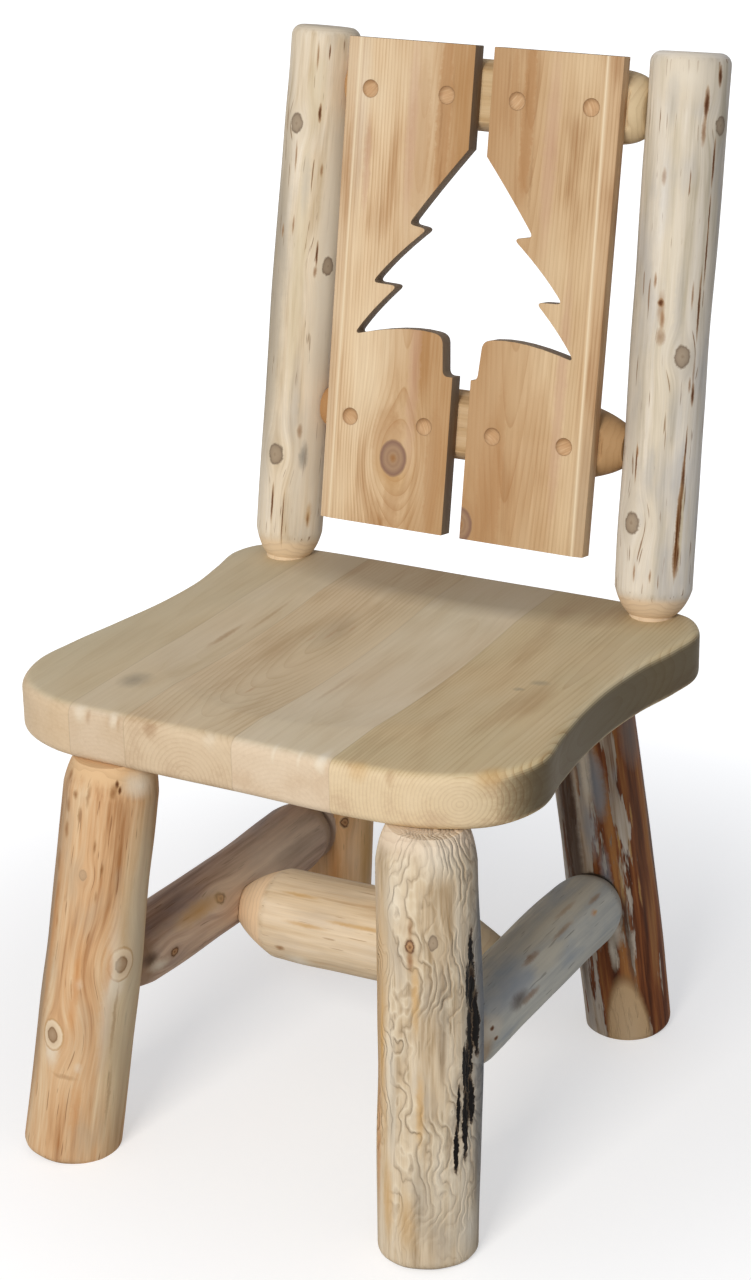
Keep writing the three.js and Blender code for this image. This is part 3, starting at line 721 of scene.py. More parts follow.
        # Painted light on the crests and painted shade in the grooves between them.
        painted_relief = sketch.add("ValToRGB", {"Fac": lines}, WRINKLE_LIGHT_AND_SHADE).outputs
        dip = sketch.add("ValToRGB", {"Fac": lines}, WRINKLE_DEPTHS).outputs["Color"]
        patchy = sketch.drawn_noise(grain, (24.0, 24.0, 10.0), start=(1.0, 4.0, 2.0))
        above_foot = sketch.run(Step.RANGE, along, 0.02, 0.11, 0.25)
        deep = sketch.run(Step.MULTIPLY, sketch.run(Step.RANGE, patchy, 0.37, 0.53, 0.08), above_foot)
        covered = sketch.run(Step.MULTIPLY, deep, self.finish.furrow_cover)
        cover = sketch.run(Step.MULTIPLY, painted_relief["Alpha"], covered)
        relief = sketch.weighted((height, 0.4), (sketch.run(Step.MULTIPLY, dip, deep), 1))
        return sketch.run(Step.MIX, cover, colour, painted_relief["Color"]), relief

    def barked(self, sketch: Sketch, grain: Output, colour: Output, height: Output) -> tuple[Output, Output]:
        """Strips of inner bark that the drawknife left, broken up along the grain.

        Args:
            sketch: The material.
            grain: Where a point lies in the grain.
            colour, height: The wood's colour and relief so far.

        Returns:
            The colour and relief with the bark.
        """
        strips = sketch.drawn_noise(grain, (46.0, 46.0, 6.5), 5.0, 0.62)
        leaning = sketch.weighted((strips, 1), (sketch.run(Step.ALONG_Y, grain), 3.2))
        edge = 0.62 - 0.3 * self.finish.bark_cover
        cover = sketch.run(Step.RANGE, leaning, edge, edge + 0.025)
        inner = sketch.drawn_noise(grain, (95.0, 95.0, 5.0), 4.0, 0.6, (3.0, 3.0, 3.0))
        stops = ((0.36, "#4c2a1b", 1.0), (0.66, "#ac7644", 1.0), (0.5, self.finish.bark, 1.0))
        bark = sketch.add("ValToRGB", {"Fac": inner}, stops).outputs["Color"]
        raised = sketch.weighted((cover, 1), (inner, 0.8))
        return sketch.run(Step.MIX, cover, colour, bark), sketch.weighted((height, 1), (raised, 0.8))


def turned_shape(profile: Sequence[Triple], axis: Triple, steps: int) -> Shape:
    """Turn a profile round an axis, as on a lathe.

    Args:
        profile: The profile's corners, from the axis out and back to it, in millimetres.
        axis: The direction of the axis, which runs through the origin.
        steps: How many facets go round.

    Returns:
        The closed shape.
    """
    shape = bmesh.new()
    corners = [shape.verts.new(corner) for corner in profile]
    for low, high in zip(corners, corners[1:]):
        shape.edges.new((low, high))
    line = shape.verts[:] + shape.edges[:]
    bmesh.ops.spin(shape, geom=line, cent=ORIGIN, axis=axis, angle=math.tau, steps=steps, use_merge=True)
    bmesh.ops.remove_doubles(shape, verts=shape.verts[:], dist=MERGE_DISTANCE)
    return shape


def saw(shape: Shape, point: Triple | Vector, outward: Triple | Vector) -> None:
    """Saw through a shape, take off what lies beyond the cut and close it.

    Args:
        shape: The shape.
        point: A point on the cut.
        outward: The direction of the side that is taken off.
    """
    parts = shape.verts[:] + shape.edges[:] + shape.faces[:]
    cut = bmesh.ops.bisect_plane(shape, geom=parts, plane_co=point, plane_no=outward, clear_outer=True)
    rim = [item for item in cut["geom_cut"] if isinstance(item, bmesh.types.BMEdge)]
    if rim:
        bmesh.ops.holes_fill(shape, edges=rim)


def stand(name: str, data: bpy.types.ID) -> bpy.types.Object:
    """Make an object of a mesh, lamp or camera and stand it in the scene."""
    thing = bpy.data.objects.new(name, data)
    bpy.context.scene.collection.objects.link(thing)
    return thing


def stand_shape(shape: Shape, name: str, material: Material) -> bpy.types.Object:
    """Make an object of a finished shape and its material, and stand it in the scene."""
    mesh = bpy.data.meshes.new(name)
    shape.to_mesh(mesh)
    shape.free()
    mesh.materials.append(material)
    return stand(name, mesh)


def settle(shape: Shape, name: str, material: Material, node: str) -> bpy.types.Object:
    """Make a finished shape a piece of the chair in place of its CAD node.

    Args:
        shape: The shape, in the row frame and in metres.
        name: The piece's name.
        material: Its material.
        node: The CAD node that it stands for.

    Returns:
        The new piece.
    """
    for face in shape.faces:
        face.smooth = True
    for edge in shape.edges:
        edge.smooth = len(edge.link_faces) == 2 and edge.calc_face_angle(0.0) < CRISP_ANGLE
    piece = stand_shape(shape, name, material)
    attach(piece, "root")
    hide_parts(node)
    log.info("%s: %d faces", name, len(piece.data.polygons))
    return piece


# The backrest's own measure: across, depth behind the slats' front face, and height up the slats, in
# millimetres.
BACKREST_LEAN = math.radians(9.7)
BACKREST = (
    Matrix.Translation(place(0.0, 184.8, 510.2))
    @ Matrix.Rotation(-BACKREST_LEAN, 4, "X")
    @ Matrix.Scale(MM, 4)
)
SLAT_THICKNESS = 18.0
SLAT_LENGTH = 472.0
FLAT_DEPTH = 18.3
FLAT_REACH = 147.5


def from_backrest(across: float, depth: float, up: float) -> Vector:
    """Carry a point from the backrest's measure to the chair's, both in millimetres."""
    return (BACKREST @ Vector((across, depth, up))) / MM - CHAIR_SHIFT


def to_backrest(point: Vector) -> Vector:
    """Carry a point from the chair's measure to the backrest's, both in millimetres."""
    return BACKREST.inverted() @ ((point + CHAIR_SHIFT) * MM)


@dataclass(frozen=True)
class BoardFinish:
    """The wood of one board: its tones, its growth rings and where the tree's middle ran."""

    name: str
    light: str
    middle: str
    dark: str
    pith: Triple
    tilt: Pair
    ring_width: float = 4.2
    late_cover: float = 0.4
    top_cool: str = "#cdbf9c"
    top_warm: str = "#cfb48e"
    front: str = "#e6d3b8"
    # How strongly painted shade darkens the faces that turn to the right.
    side_shade_cover: float = 0.0
    wander: float = 2.2
    heart: str = "#c6a27a"
    worn: float = 0.4
    marks: tuple[BoardMark, ...] = ()
    roughness: float = 0.58


def board_wood(
    sketch: Sketch, position: Output, finish: BoardFinish, grain_axis: int
) -> tuple[Output, Output]:
    """Growth rings through a board, with fibres along it.

    Args:
        sketch: The material.
        position: Where a point of the board is, in metres.
        finish: The board's wood.
        grain_axis: The axis that the fibres follow: 1 for front to back, 2 for up.

    Returns:
        The wood's colour and its relief.
    """
    across, turn = (1.0, 1.0, 0.0), (*finish.tilt, 0.0)
    if grain_axis == 1:
        across, turn = (1.0, 0.0, 1.0), (finish.tilt[0], 0.0, finish.tilt[1])
    pith = Vector(finish.pith) * MM
    slow, fine = [9.0, 9.0, 9.0], [260.0, 260.0, 260.0]
    slow[grain_axis], fine[grain_axis] = 2.4, 9.0
    drawn = sketch.run(Step.STRETCH, position, slow, pith * 7)
    wander = sketch.run(Step.NOISE, drawn, 1.0, 3.0, 0.55)
    uneven = sketch.run(Step.NOISE, drawn, 3.1, 2.0)
    fibre = sketch.drawn_noise(position, fine, 4.0, 0.65)
    own = sketch.run(Step.CENTRE, position, pith, turn)
    radius = sketch.run(Step.LENGTH, sketch.run(Step.FLATTEN, own, across))
    years = sketch.run(Step.DIVIDE, radius, finish.ring_width * MM)
    ring = sketch.run(Step.FRACT, sketch.weighted((years, 1), (wander, finish.wander)))
    late = sketch.add("ValToRGB", {"Fac": ring}, LATE_WOOD_SHARE).outputs["Color"]
    stops = ((0.3, finish.dark, 1.0), (0.7, finish.light, 1.0), (0.48, finish.middle, 1.0))
    tone = sketch.weighted((uneven, 0.7), (fibre, 0.3))
    colour = sketch.add("ValToRGB", {"Fac": tone}, stops).outputs["Color"]
    patchy = sketch.run(Step.RANGE, uneven, 0.35, 0.65, 1.3, 0.35)
    cover = sketch.run(Step.MULTIPLY, late, sketch.run(Step.MULTIPLY, patchy, finish.late_cover))
    colour = sketch.run(Step.MIX, cover, colour, finish.dark)
    colour = sketch.run(Step.TINT, 1.0, colour, sketch.run(Step.RANGE, fibre, 0.3, 0.7, 0.95, 1.04))
    return colour, sketch.weighted((late, -0.3), (fibre, 1))


@dataclass(frozen=True)
class PlankSeat:
    """The seat: boards glued edge to edge, sawn to one outline, rounded over and dished for the sitter."""

    outline: tuple[Pair, ...]
    glue_lines: tuple[float, ...]
    finishes: tuple[BoardFinish, ...]
    rounding: float = 10.0
    dish_centre: Pair = (-6.0, 2.0)
    dish_half_sizes: Pair = (192.0, 168.0)
    dish_depth: float = 8.0
    dish_softness: float = 0.03
    steps: int = 14
    ring_gap: float = 4.0
    trim: float = 1.0
    # Painted shade over the top behind the dish's rear rim: its middle, half sizes and tone.
    rear_shade: Vector = Vector((12.0, 222.0, 450.0))
    rear_shade_size: Vector = Vector((250.0, 78.0, 60.0))
    rear_shade_tone: str = "#8d7658"
    # The tone of the painted shade on the faces that turn to the right.
    side_shade_tone: str = "#5e523d"
    glue_tone: str = "#5c4630"
    mark_depth: float = 18.0
    half_width: float = 260.0
    edge_reach: float = 320.0

    def guide(self) -> list[Vector]:
        """The outline as a smooth closed curve through its corner points, in millimetres."""
        corners = [Vector(corner) for corner in self.outline]
        count = len(corners)
        points = []
        for index in range(count):
            p0, p1, p2, p3 = (corners[(index + shift) % count] for shift in (-1, 0, 1, 2))
            t1 = (p1 - p0).length ** 0.5
            t2 = t1 + (p2 - p1).length ** 0.5
            t3 = t2 + (p3 - p2).length ** 0.5
            for step in range(self.steps):
                t = t1 + (t2 - t1) * step / self.steps
                a1 = p0.lerp(p1, t / t1)
                a2 = p1.lerp(p2, (t - t1) / (t2 - t1))
                a3 = p2.lerp(p3, (t - t2) / (t3 - t2))
                b1 = a1.lerp(a2, t / t2)
                b2 = a2.lerp(a3, (t - t1) / (t3 - t1))
                points.append(b1.lerp(b2, (t - t1) / (t2 - t1)))
        return points

    def dished(self, x: float, y: float) -> float:
        """The height of the top face at a place, in millimetres."""
        share = ((x - self.dish_centre[0]) / self.dish_half_sizes[0]) ** 2
        share += ((y - self.dish_centre[1]) / self.dish_half_sizes[1]) ** 2
        inside = 1 - share
        soft = (math.sqrt(inside * inside + self.dish_softness**2) + inside) / 2
        return SEAT_TOP - self.dish_depth * soft

    def blank(self) -> Shape:
        """The whole seat before it is divided: rings of the outline from under its middle to over it."""
        guide = self.guide()
        count = len(guide)
        outward = []
        for index in range(count):
            along = guide[(index + 1) % count] - guide[index - 1]
            outward.append(Vector((along.y, -along.x)).normalized())
        centre = Vector(self.dish_centre)
        thickness = SEAT_TOP - SEAT_UNDERSIDE
        rings = int(self.half_width / self.ring_gap)
        under = [(self.rounding, step / 7, 0.0) for step in range(1, 7)]
        corner = [(1 - math.sin(turn), 1 - math.cos(turn)) for turn in quarter_turn(8)]
        low = [(self.rounding * inset, 1.0, self.rounding * rise) for inset, rise in corner]
        high = [(inset, 1.0, thickness - rise) for inset, _, rise in reversed(low)]
        over = [(self.rounding, 1 - step / rings, thickness) for step in range(1, rings)]
        shape = bmesh.new()
        order = shape.verts.layers.int.new("order")
        ring = [shape.verts.new(ORIGIN) for _ in guide]
        for number, vertex in enumerate(ring):
            vertex[order] = number
        rim = [shape.edges.new((ring[number - 1], ring[number])) for number in range(count)]
        bmesh.ops.contextual_create(shape, geom=rim)
        for number, (inset, share, rise) in enumerate([*under, *low, *high, *over]):
            if number:
                grown = bmesh.ops.extrude_edge_only(shape, edges=rim)["geom"]
                ring = [item for item in grown if isinstance(item, bmesh.types.BMVert)]
                rim = [item for item in grown if isinstance(item, bmesh.types.BMEdge)]
            for vertex in ring:
                index = vertex[order]
                spot = centre.lerp(guide[index] - outward[index] * (inset + self.trim), share)
                vertex.co = (spot.x, spot.y, SEAT_UNDERSIDE + rise)
        bmesh.ops.contextual_create(shape, geom=rim)
        for vertex in shape.verts:
            if vertex.co.z > SEAT_TOP - 0.01:
                vertex.co.z = self.dished(vertex.co.x, vertex.co.y)
        bmesh.ops.recalc_face_normals(shape, faces=shape.faces[:])
        return shape

    def build(self) -> None:
        """Divide the seat at its glue lines and dress each board."""
        blank = self.blank()
        edges = [-self.edge_reach, *self.glue_lines, self.edge_reach]
        for number, (low, high, finish) in enumerate(zip(edges, edges[1:], self.finishes), 1):
            board = blank.copy()
            saw(board, (low, 0, 0), (-1, 0, 0))
            saw(board, (high, 0, 0), (1, 0, 0))
            bmesh.ops.translate(board, verts=board.verts[:], vec=CHAIR_SHIFT)
            bmesh.ops.scale(board, verts=board.verts[:], vec=(MM, MM, MM))
            material = self.material(finish, low, high)
            settle(board, f"seat_plank_{number}", material, f"seat_board_{number}")
        blank.free()

    def material(self, finish: BoardFinish, low: float, high: float) -> Material:
        """One board's pine: satin, yellower and darker with wear on top, with a dark glue line at each joint,
        painted shade behind the dish and painted shade on the right-hand board's outer side.

        Args:
            finish: The board's wood.
            low, high: The board's edges across the seat, in millimetres.
        """
        sketch = Sketch(f"{finish.name} seat board")
        chair = sketch.run(Step.SHIFT_BACK, sketch.run(Step.HERE), CHAIR_SHIFT * MM)
        colour, height = board_wood(sketch, chair, finish, 1)
        normal = sketch.add("NewGeometry").outputs["True Normal"]
        side, level, facing = sketch.add("SeparateXYZ", {0: normal}).outputs
        stops = ((0.35, finish.top_cool, 1.0), (0.62, finish.top_warm, 1.0))
        hazy = sketch.run(Step.NOISE, chair, 4.5, 2.0)
        worn = sketch.add("ValToRGB", {"Fac": hazy}, stops).outputs["Color"]
        worn = sketch.run(Step.MIX, finish.worn, worn, colour)
        front = sketch.run(Step.RANGE, level, -0.2, -0.9, 0.0, 0.72)
        colour = sketch.run(Step.MIX, front, colour, sketch.run(Step.TINT, 0.28, finish.front, colour))
        colour = sketch.run(Step.MIX, sketch.run(Step.RANGE, facing, 0.75, 0.98), colour, worn)
        for mark in finish.marks:
            middle = Vector((mark.across, mark.along, SEAT_TOP))
            size = Vector((mark.half_width, mark.half_length, self.mark_depth))
            colour = lay_mark(sketch, colour, chair, mark, middle, size)
        # Painted shade: a soft dark band over the top behind the dish.
        rear = sketch.run(Step.CENTRE, chair, self.rear_shade * MM, ORIGIN, self.rear_shade_size * MM)
        shade = sketch.run(Step.RANGE, sketch.run(Step.LENGTH, rear), 1.0, 0.6, 0.0, 0.5)
        colour = sketch.run(Step.MIX, shade, colour, self.rear_shade_tone)
        # Painted shade on the faces that turn to the right; only the right-hand board sets it.
        side_shade = sketch.run(Step.RANGE, side, 0.74, 0.97, 0.0, finish.side_shade_cover)
        colour = sketch.run(Step.MIX, side_shade, colour, self.side_shade_tone)
        across = sketch.run(Step.ALONG_X, chair)
        for line in (low, high):
            away = sketch.run(Step.ABSOLUTE, sketch.run(Step.SUBTRACT, across, line * MM))
            seam = sketch.run(Step.RANGE, away, 0.0002, 0.0008, 0.16, 0.0)
            colour = sketch.run(Step.MIX, seam, colour, self.glue_tone)
        return sketch.finish(colour, finish.roughness, height, 0.25)


@dataclass(frozen=True)
class SlatSizes:
    """One slat: its edges across the backrest, the side that it stands on and its outer edge's bevel."""

    inner: float
    outer: float
    side: int
    band_bottom: float = 11.0
    band_top: float = 15.0
    bevel_depth: float = 3.0


@dataclass(frozen=True)
class Plugs:
    """The button plugs: where they stand in a slat and how each is turned."""

    rows: Pair = (104.75, 423.75)
    outer_inset: float = 28.0
    inner_inset: float = 27.5
    radius: float = 8.4
    hole_radius: float = 8.5
    depth: float = 7.9
    sink: float = 0.4
    dish: float = 2.7

    def places(self, slat: SlatSizes) -> list[Pair]:
        """Where a slat's four plugs go, across and up the backrest."""
        across = (slat.side * (slat.outer - self.outer_inset), slat.side * (slat.inner + self.inner_inset))
        return [(place_across, row) for row in self.rows for place_across in across]


@dataclass
class TreeBackrest:
    """Two wide cedar slats. Half of a pine tree is sawn out of the inner edge of each."""

    slats: dict[str, SlatSizes]
    finishes: dict[str, BoardFinish]
    plugs: Plugs = Plugs()
    centre: float = 0.3
    tip_radius: float = 6.0
    notch_radius: float = 8.0
    edge_ease: float = 0.7
    tree: tuple[tuple[Pair, Pair | None], ...] = (
        ((0.0, 384.0), None),
        ((66.5, 299.0), (38.5, 338.0)),
        ((45.5, 296.0), None),
        ((102.0, 239.5), (82.0, 266.0)),
        ((74.0, 238.5), None),
        ((118.5, 187.0), (104.0, 210.0)),
        ((21.5, 195.5), (57.0, 204.5)),
        ((18.5, 156.5), None),
        ((0.0, 157.0), None),
    )

    def half_tree(self) -> list[Vector]:
        """Half of the tree's outline from its peak down, with its tips and notches rounded."""
        corners = []
        gentle = []
        for target, control in self.tree:
            corner = Vector(target)
            curve = curve_points(corners[-1], Vector(control), corner, 7)[1:] if control else [corner]
            corners.extend(curve)
            gentle.extend([True] * (len(curve) - 1) + [False])
        points = [corners[0]]
        for index in range(1, len(corners) - 1):
            before, corner, after = corners[index - 1], corners[index], corners[index + 1]
            if gentle[index]:
                points.append(corner)
                continue
            back, on = before - corner, after - corner
            turn = back.x * on.y - back.y * on.x
            rounding = self.tip_radius if turn > 0 else self.notch_radius
            radius = min(rounding, back.length * 0.9, on.length * 0.9)
            first, last = corner + back.normalized() * radius, corner + on.normalized() * radius
            points.extend(curve_points(first, corner, last, 5))
        points.append(corners[-1])
        return points

    def outline(self, slat: SlatSizes) -> list[Vector]:
        """One slat's outline, across and up, from its lower inner corner round by its outer edge."""
        reach = [Vector((point.x + slat.side * self.centre, point.y)) for point in self.half_tree()]
        kept = [point for point in reach if point.x > slat.inner]
        first = reach.index(kept[0])
        last = reach.index(kept[-1])
        crossings = []
        for outside, inside in ((reach[first - 1], reach[first]), (reach[last + 1], reach[last])):
            crossings.append(outside.lerp(inside, (slat.inner - outside.x) / (inside.x - outside.x)))
        corners = [(slat.inner, 0.0), (slat.outer, 0.0), (slat.outer, SLAT_LENGTH), (slat.inner, SLAT_LENGTH)]
        points = [*[Vector(corner) for corner in corners], crossings[0], *kept, crossings[1]]
        return [Vector((slat.side * point.x, point.y)) for point in points]

    def build(self) -> None:
        """Saw both slats and turn their plugs."""
        for name, slat in self.slats.items():
            self.build_slat(name, slat)
            for number, (across, up) in enumerate(self.plugs.places(slat), 1):
                self.build_plug(f"{name}_{number}", across, up)

    def build_slat(self, name: str, slat: SlatSizes) -> None:
        """Saw, bevel and ease one slat.

        Args:
            name: The side that it stands on.
            slat: Its sizes.
        """
        shape = self.slat_blank(slat)
        low = Vector((slat.side * (slat.outer - slat.band_bottom), 0, 0))
        high = Vector((slat.side * (slat.outer - slat.band_top), 0, SLAT_LENGTH))
        edge = Vector((slat.side * slat.outer, slat.bevel_depth, SLAT_LENGTH / 2))
        saw(shape, low, (edge - low).cross(high - low) * slat.side)
        bmesh.ops.recalc_face_normals(shape, faces=shape.faces[:])
        closed = [item for item in shape.edges if len(item.link_faces) == 2]
        sharp = [item for item in closed if item.calc_face_angle(0) > EASED_ANGLE]
        bmesh.ops.bevel(
            shape, geom=sharp, offset=self.edge_ease, affect="EDGES", segments=2, profile=0.5, material=-1
        )
        holes = [Vector(spot) for spot in self.plugs.places(slat)]
        for face in shape.faces:
            middle = face.calc_center_median()
            outside = slat.side * middle.x > slat.outer - 1
            holed = min((spot - middle.xz).length for spot in holes) < self.plugs.hole_radius + 2
            face.material_index = 0 if abs(face.normal.y) > 0.5 or outside or holed else 1
        bmesh.ops.transform(shape, matrix=BACKREST, verts=shape.verts[:])
        piece = settle(shape, f"cedar_slat_{name}", self.material(name), f"slat_{name}")
        piece.data.materials.append(self.sawn_material(name))

    def slat_blank(self, slat: SlatSizes) -> Shape:
        """One slat with its half of the tree and its plug holes sawn out, before its edges are worked."""
        shape = bmesh.new()
        loops = [self.outline(slat)]
        turns = [math.tau * step / HOLE_FACETS for step in range(HOLE_FACETS)]
        radius = self.plugs.hole_radius
        for across, up in self.plugs.places(slat):
            loops.append([Vector((across + radius * math.cos(t), up + radius * math.sin(t))) for t in turns])
        for loop in loops:
            ring = [shape.verts.new((point.x, 0.0, point.y)) for point in loop]
            for number in range(len(ring)):
                shape.edges.new((ring[number - 1], ring[number]))
        rims = shape.edges[:]
        bmesh.ops.triangle_fill(shape, use_beauty=True, use_dissolve=False, edges=rims, normal=FRONT)
        back = bmesh.ops.extrude_face_region(shape, geom=shape.faces[:], use_keep_orig=True)["geom"]
        moved = [item for item in back if isinstance(item, bmesh.types.BMVert)]
        bmesh.ops.translate(shape, verts=moved, vec=(0, SLAT_THICKNESS, 0))
        bmesh.ops.recalc_face_normals(shape, faces=shape.faces[:])
        return shape

    def build_plug(self, name: str, across: float, up: float) -> None:
        """Turn one plug with its face hollowed by the sanding pad.

        Args:
            name: Its slat's side and its number there.
            across, up: Its place on the slat.
        """
        plugs = self.plugs
        shares = [step / 8 for step in range(9)]
        face = [(plugs.radius * share, plugs.sink + plugs.dish * (1 - share**2), 0.0) for share in shares]
        back = [(plugs.radius, plugs.depth, 0.0), (0.0, plugs.depth, 0.0)]
        shape = turned_shape([*face, *back], REAR, PLUG_FACETS)
        bmesh.ops.recalc_face_normals(shape, faces=shape.faces[:])
        there = BACKREST @ Matrix.Translation((across, 0, up))
        bmesh.ops.transform(shape, matrix=there, verts=shape.verts[:])
        settle(shape, f"button_{name}", self.plug_material(name, across, up), f"plug_{name}")

    def slat_position(self, sketch: Sketch) -> Output:
        """Where a point is in the backrest's own measure, but in metres."""
        turn = (-BACKREST_LEAN, 0.0, 0.0)
        return sketch.run(Step.CENTRE, sketch.run(Step.HERE), BACKREST.translation, turn)

    def material(self, name: str) -> Material:
        """A slat's face: plain-sawn cedar with a satin sheen, redder at heart, pale in places, with a painted
        highlight along its bevel's ridge.
        """
        finish = self.finishes[name]
        slat = self.slats[name]
        sketch = Sketch(f"{finish.name} slat")
        position = flowing = self.slat_position(sketch)
        for mark in finish.marks:
            if mark.kind is K.RED_KNOT:
                flowing = self.flow_round(sketch, flowing, mark)
        colour, height = board_wood(sketch, flowing, finish, 2)
        wander = sketch.drawn_noise(flowing, (16.0, 16.0, 3.0))
        outward = sketch.weighted((sketch.run(Step.ALONG_X, flowing), float(slat.side)), (wander, 0.05))
        inside = sketch.run(Step.RANGE, outward, 0.045, 0.125, 0.75, 0.0)
        colour = sketch.run(Step.MIX, inside, colour, finish.heart)
        for mark in finish.marks:
            middle = Vector((mark.across, SLAT_THICKNESS / 2, mark.along))
            size = Vector((mark.half_width, SLAT_THICKNESS * 4, mark.half_length))
            colour = lay_mark(sketch, colour, position, mark, middle, size)
        across, _, up = sketch.add("SeparateXYZ", {0: position}).outputs
        lean = (slat.band_top - slat.band_bottom) / SLAT_LENGTH
        beside = sketch.weighted((across, float(slat.side)), (up, lean))
        past = sketch.run(Step.SUBTRACT, beside, (slat.outer - slat.band_bottom) * MM)
        share = sketch.run(Step.RANGE, past, -0.012, 0.012)
        # Painted highlight along the bevel's ridge, with a darker line beside it.
        ridge = sketch.add("ValToRGB", {"Fac": share}, RIDGE_HIGHLIGHT_TONES).outputs
        colour = sketch.run(Step.MIX, ridge["Alpha"], colour, ridge["Color"])
        return sketch.finish(colour, finish.roughness, height, 0.2)

    def flow_round(self, sketch: Sketch, position: Output, knot: BoardMark) -> Output:
        """Part the grain round a knot.

        Args:
            sketch: The material.
            position: Where a point is, in the backrest's measure but in metres.
            knot: The knot.

        Returns:
            The place that the same grain would have without the knot.
        """
        middle = Vector((knot.across, 0.0, knot.along)) * MM
        size = Vector((knot.half_width * 1.9, 200.0, knot.half_length * 2.6)) * MM
        local = sketch.run(Step.CENTRE, position, middle, ORIGIN, size)
        square = sketch.run(Step.DOT, local, local)
        near = sketch.run(Step.EXPONENT, sketch.run(Step.MULTIPLY, square, -1.0))
        aside = sketch.run(Step.MULTIPLY, sketch.run(Step.ALONG_X, local), near)
        push = {"X": sketch.run(Step.MULTIPLY, aside, -size.x), "Y": sketch.run(Step.MULTIPLY, near, 0.014)}
        return sketch.run(Step.SHIFT, position, sketch.add("CombineXYZ", push).outputs[0])

    def sawn_material(self, name: str) -> Material:
        """The sawn edges of a slat: darker and duller than its face, partly from the rough sawn wood and
        partly from painted shade on the walls of the tree's cut.
        """
        finish = self.finishes[name]
        sketch = Sketch(f"{finish.name}, sawn edge")
        colour, height = board_wood(sketch, self.slat_position(sketch), finish, 2)
        return sketch.finish(sketch.run(Step.MIX, 0.86, colour, SAWN_EDGE_SHADE_TONE), 0.6, height, 0.3)

    def plug_material(self, name: str, across: float, up: float) -> Material:
        """A plug's face-grain wood, smoother than the slat, with painted shade round its rim that is heaviest
        at the upper left.

        Args:
            name: Its slat's side and its number there.
            across, up: Its place on the slat, which also sets how its grain is turned.
        """
        sketch = Sketch(f"turned plug, {name}")
        turn = (across * 1.3 + up) % math.tau
        position = self.slat_position(sketch)
        own = sketch.run(Step.CENTRE, position, Vector((across, 0.0, up)) * MM, (0.0, turn, 0.0))
        fibre = sketch.drawn_noise(own, (700.0, 200.0, 60.0), 3.0, start=(across, up, 0.0))
        colour = sketch.add("ValToRGB", {"Fac": fibre}, PLUG_TONES).outputs["Color"]
        # Painted shade round the rim: its middle is moved down and to the right, so it is heaviest at the
        # upper left where the recess's wall shades the plug.
        beside = sketch.run(Step.CENTRE, position, Vector((across + 1.0, 0.0, up - 1.3)) * MM)
        radius = sketch.run(Step.LENGTH, sketch.run(Step.FLATTEN, beside, (1.0, 0.0, 1.0)))
        rim = sketch.run(Step.RANGE, radius, 0.0058, 0.0099, 0.0, 0.62)
        return sketch.finish(sketch.run(Step.MIX, rim, colour, PLUG_RIM_SHADE), 0.45, fibre, 0.1)


def screw_steel() -> Material:
    """Zinc-plated steel for the screws: pale, fairly bright and lightly scuffed."""
    sketch = Sketch("zinc-plated screw steel")
    scuffs = sketch.run(Step.NOISE, sketch.run(Step.HERE), 900.0, 2.0)
    roughness = sketch.run(Step.RANGE, scuffs, 0.0, 1.0, 0.28, 0.42)
    return sketch.finish("#c9c6bf", roughness, scuffs, 0.02, Metallic=1.0, Specular_IOR_Level=METAL_SPECULAR)


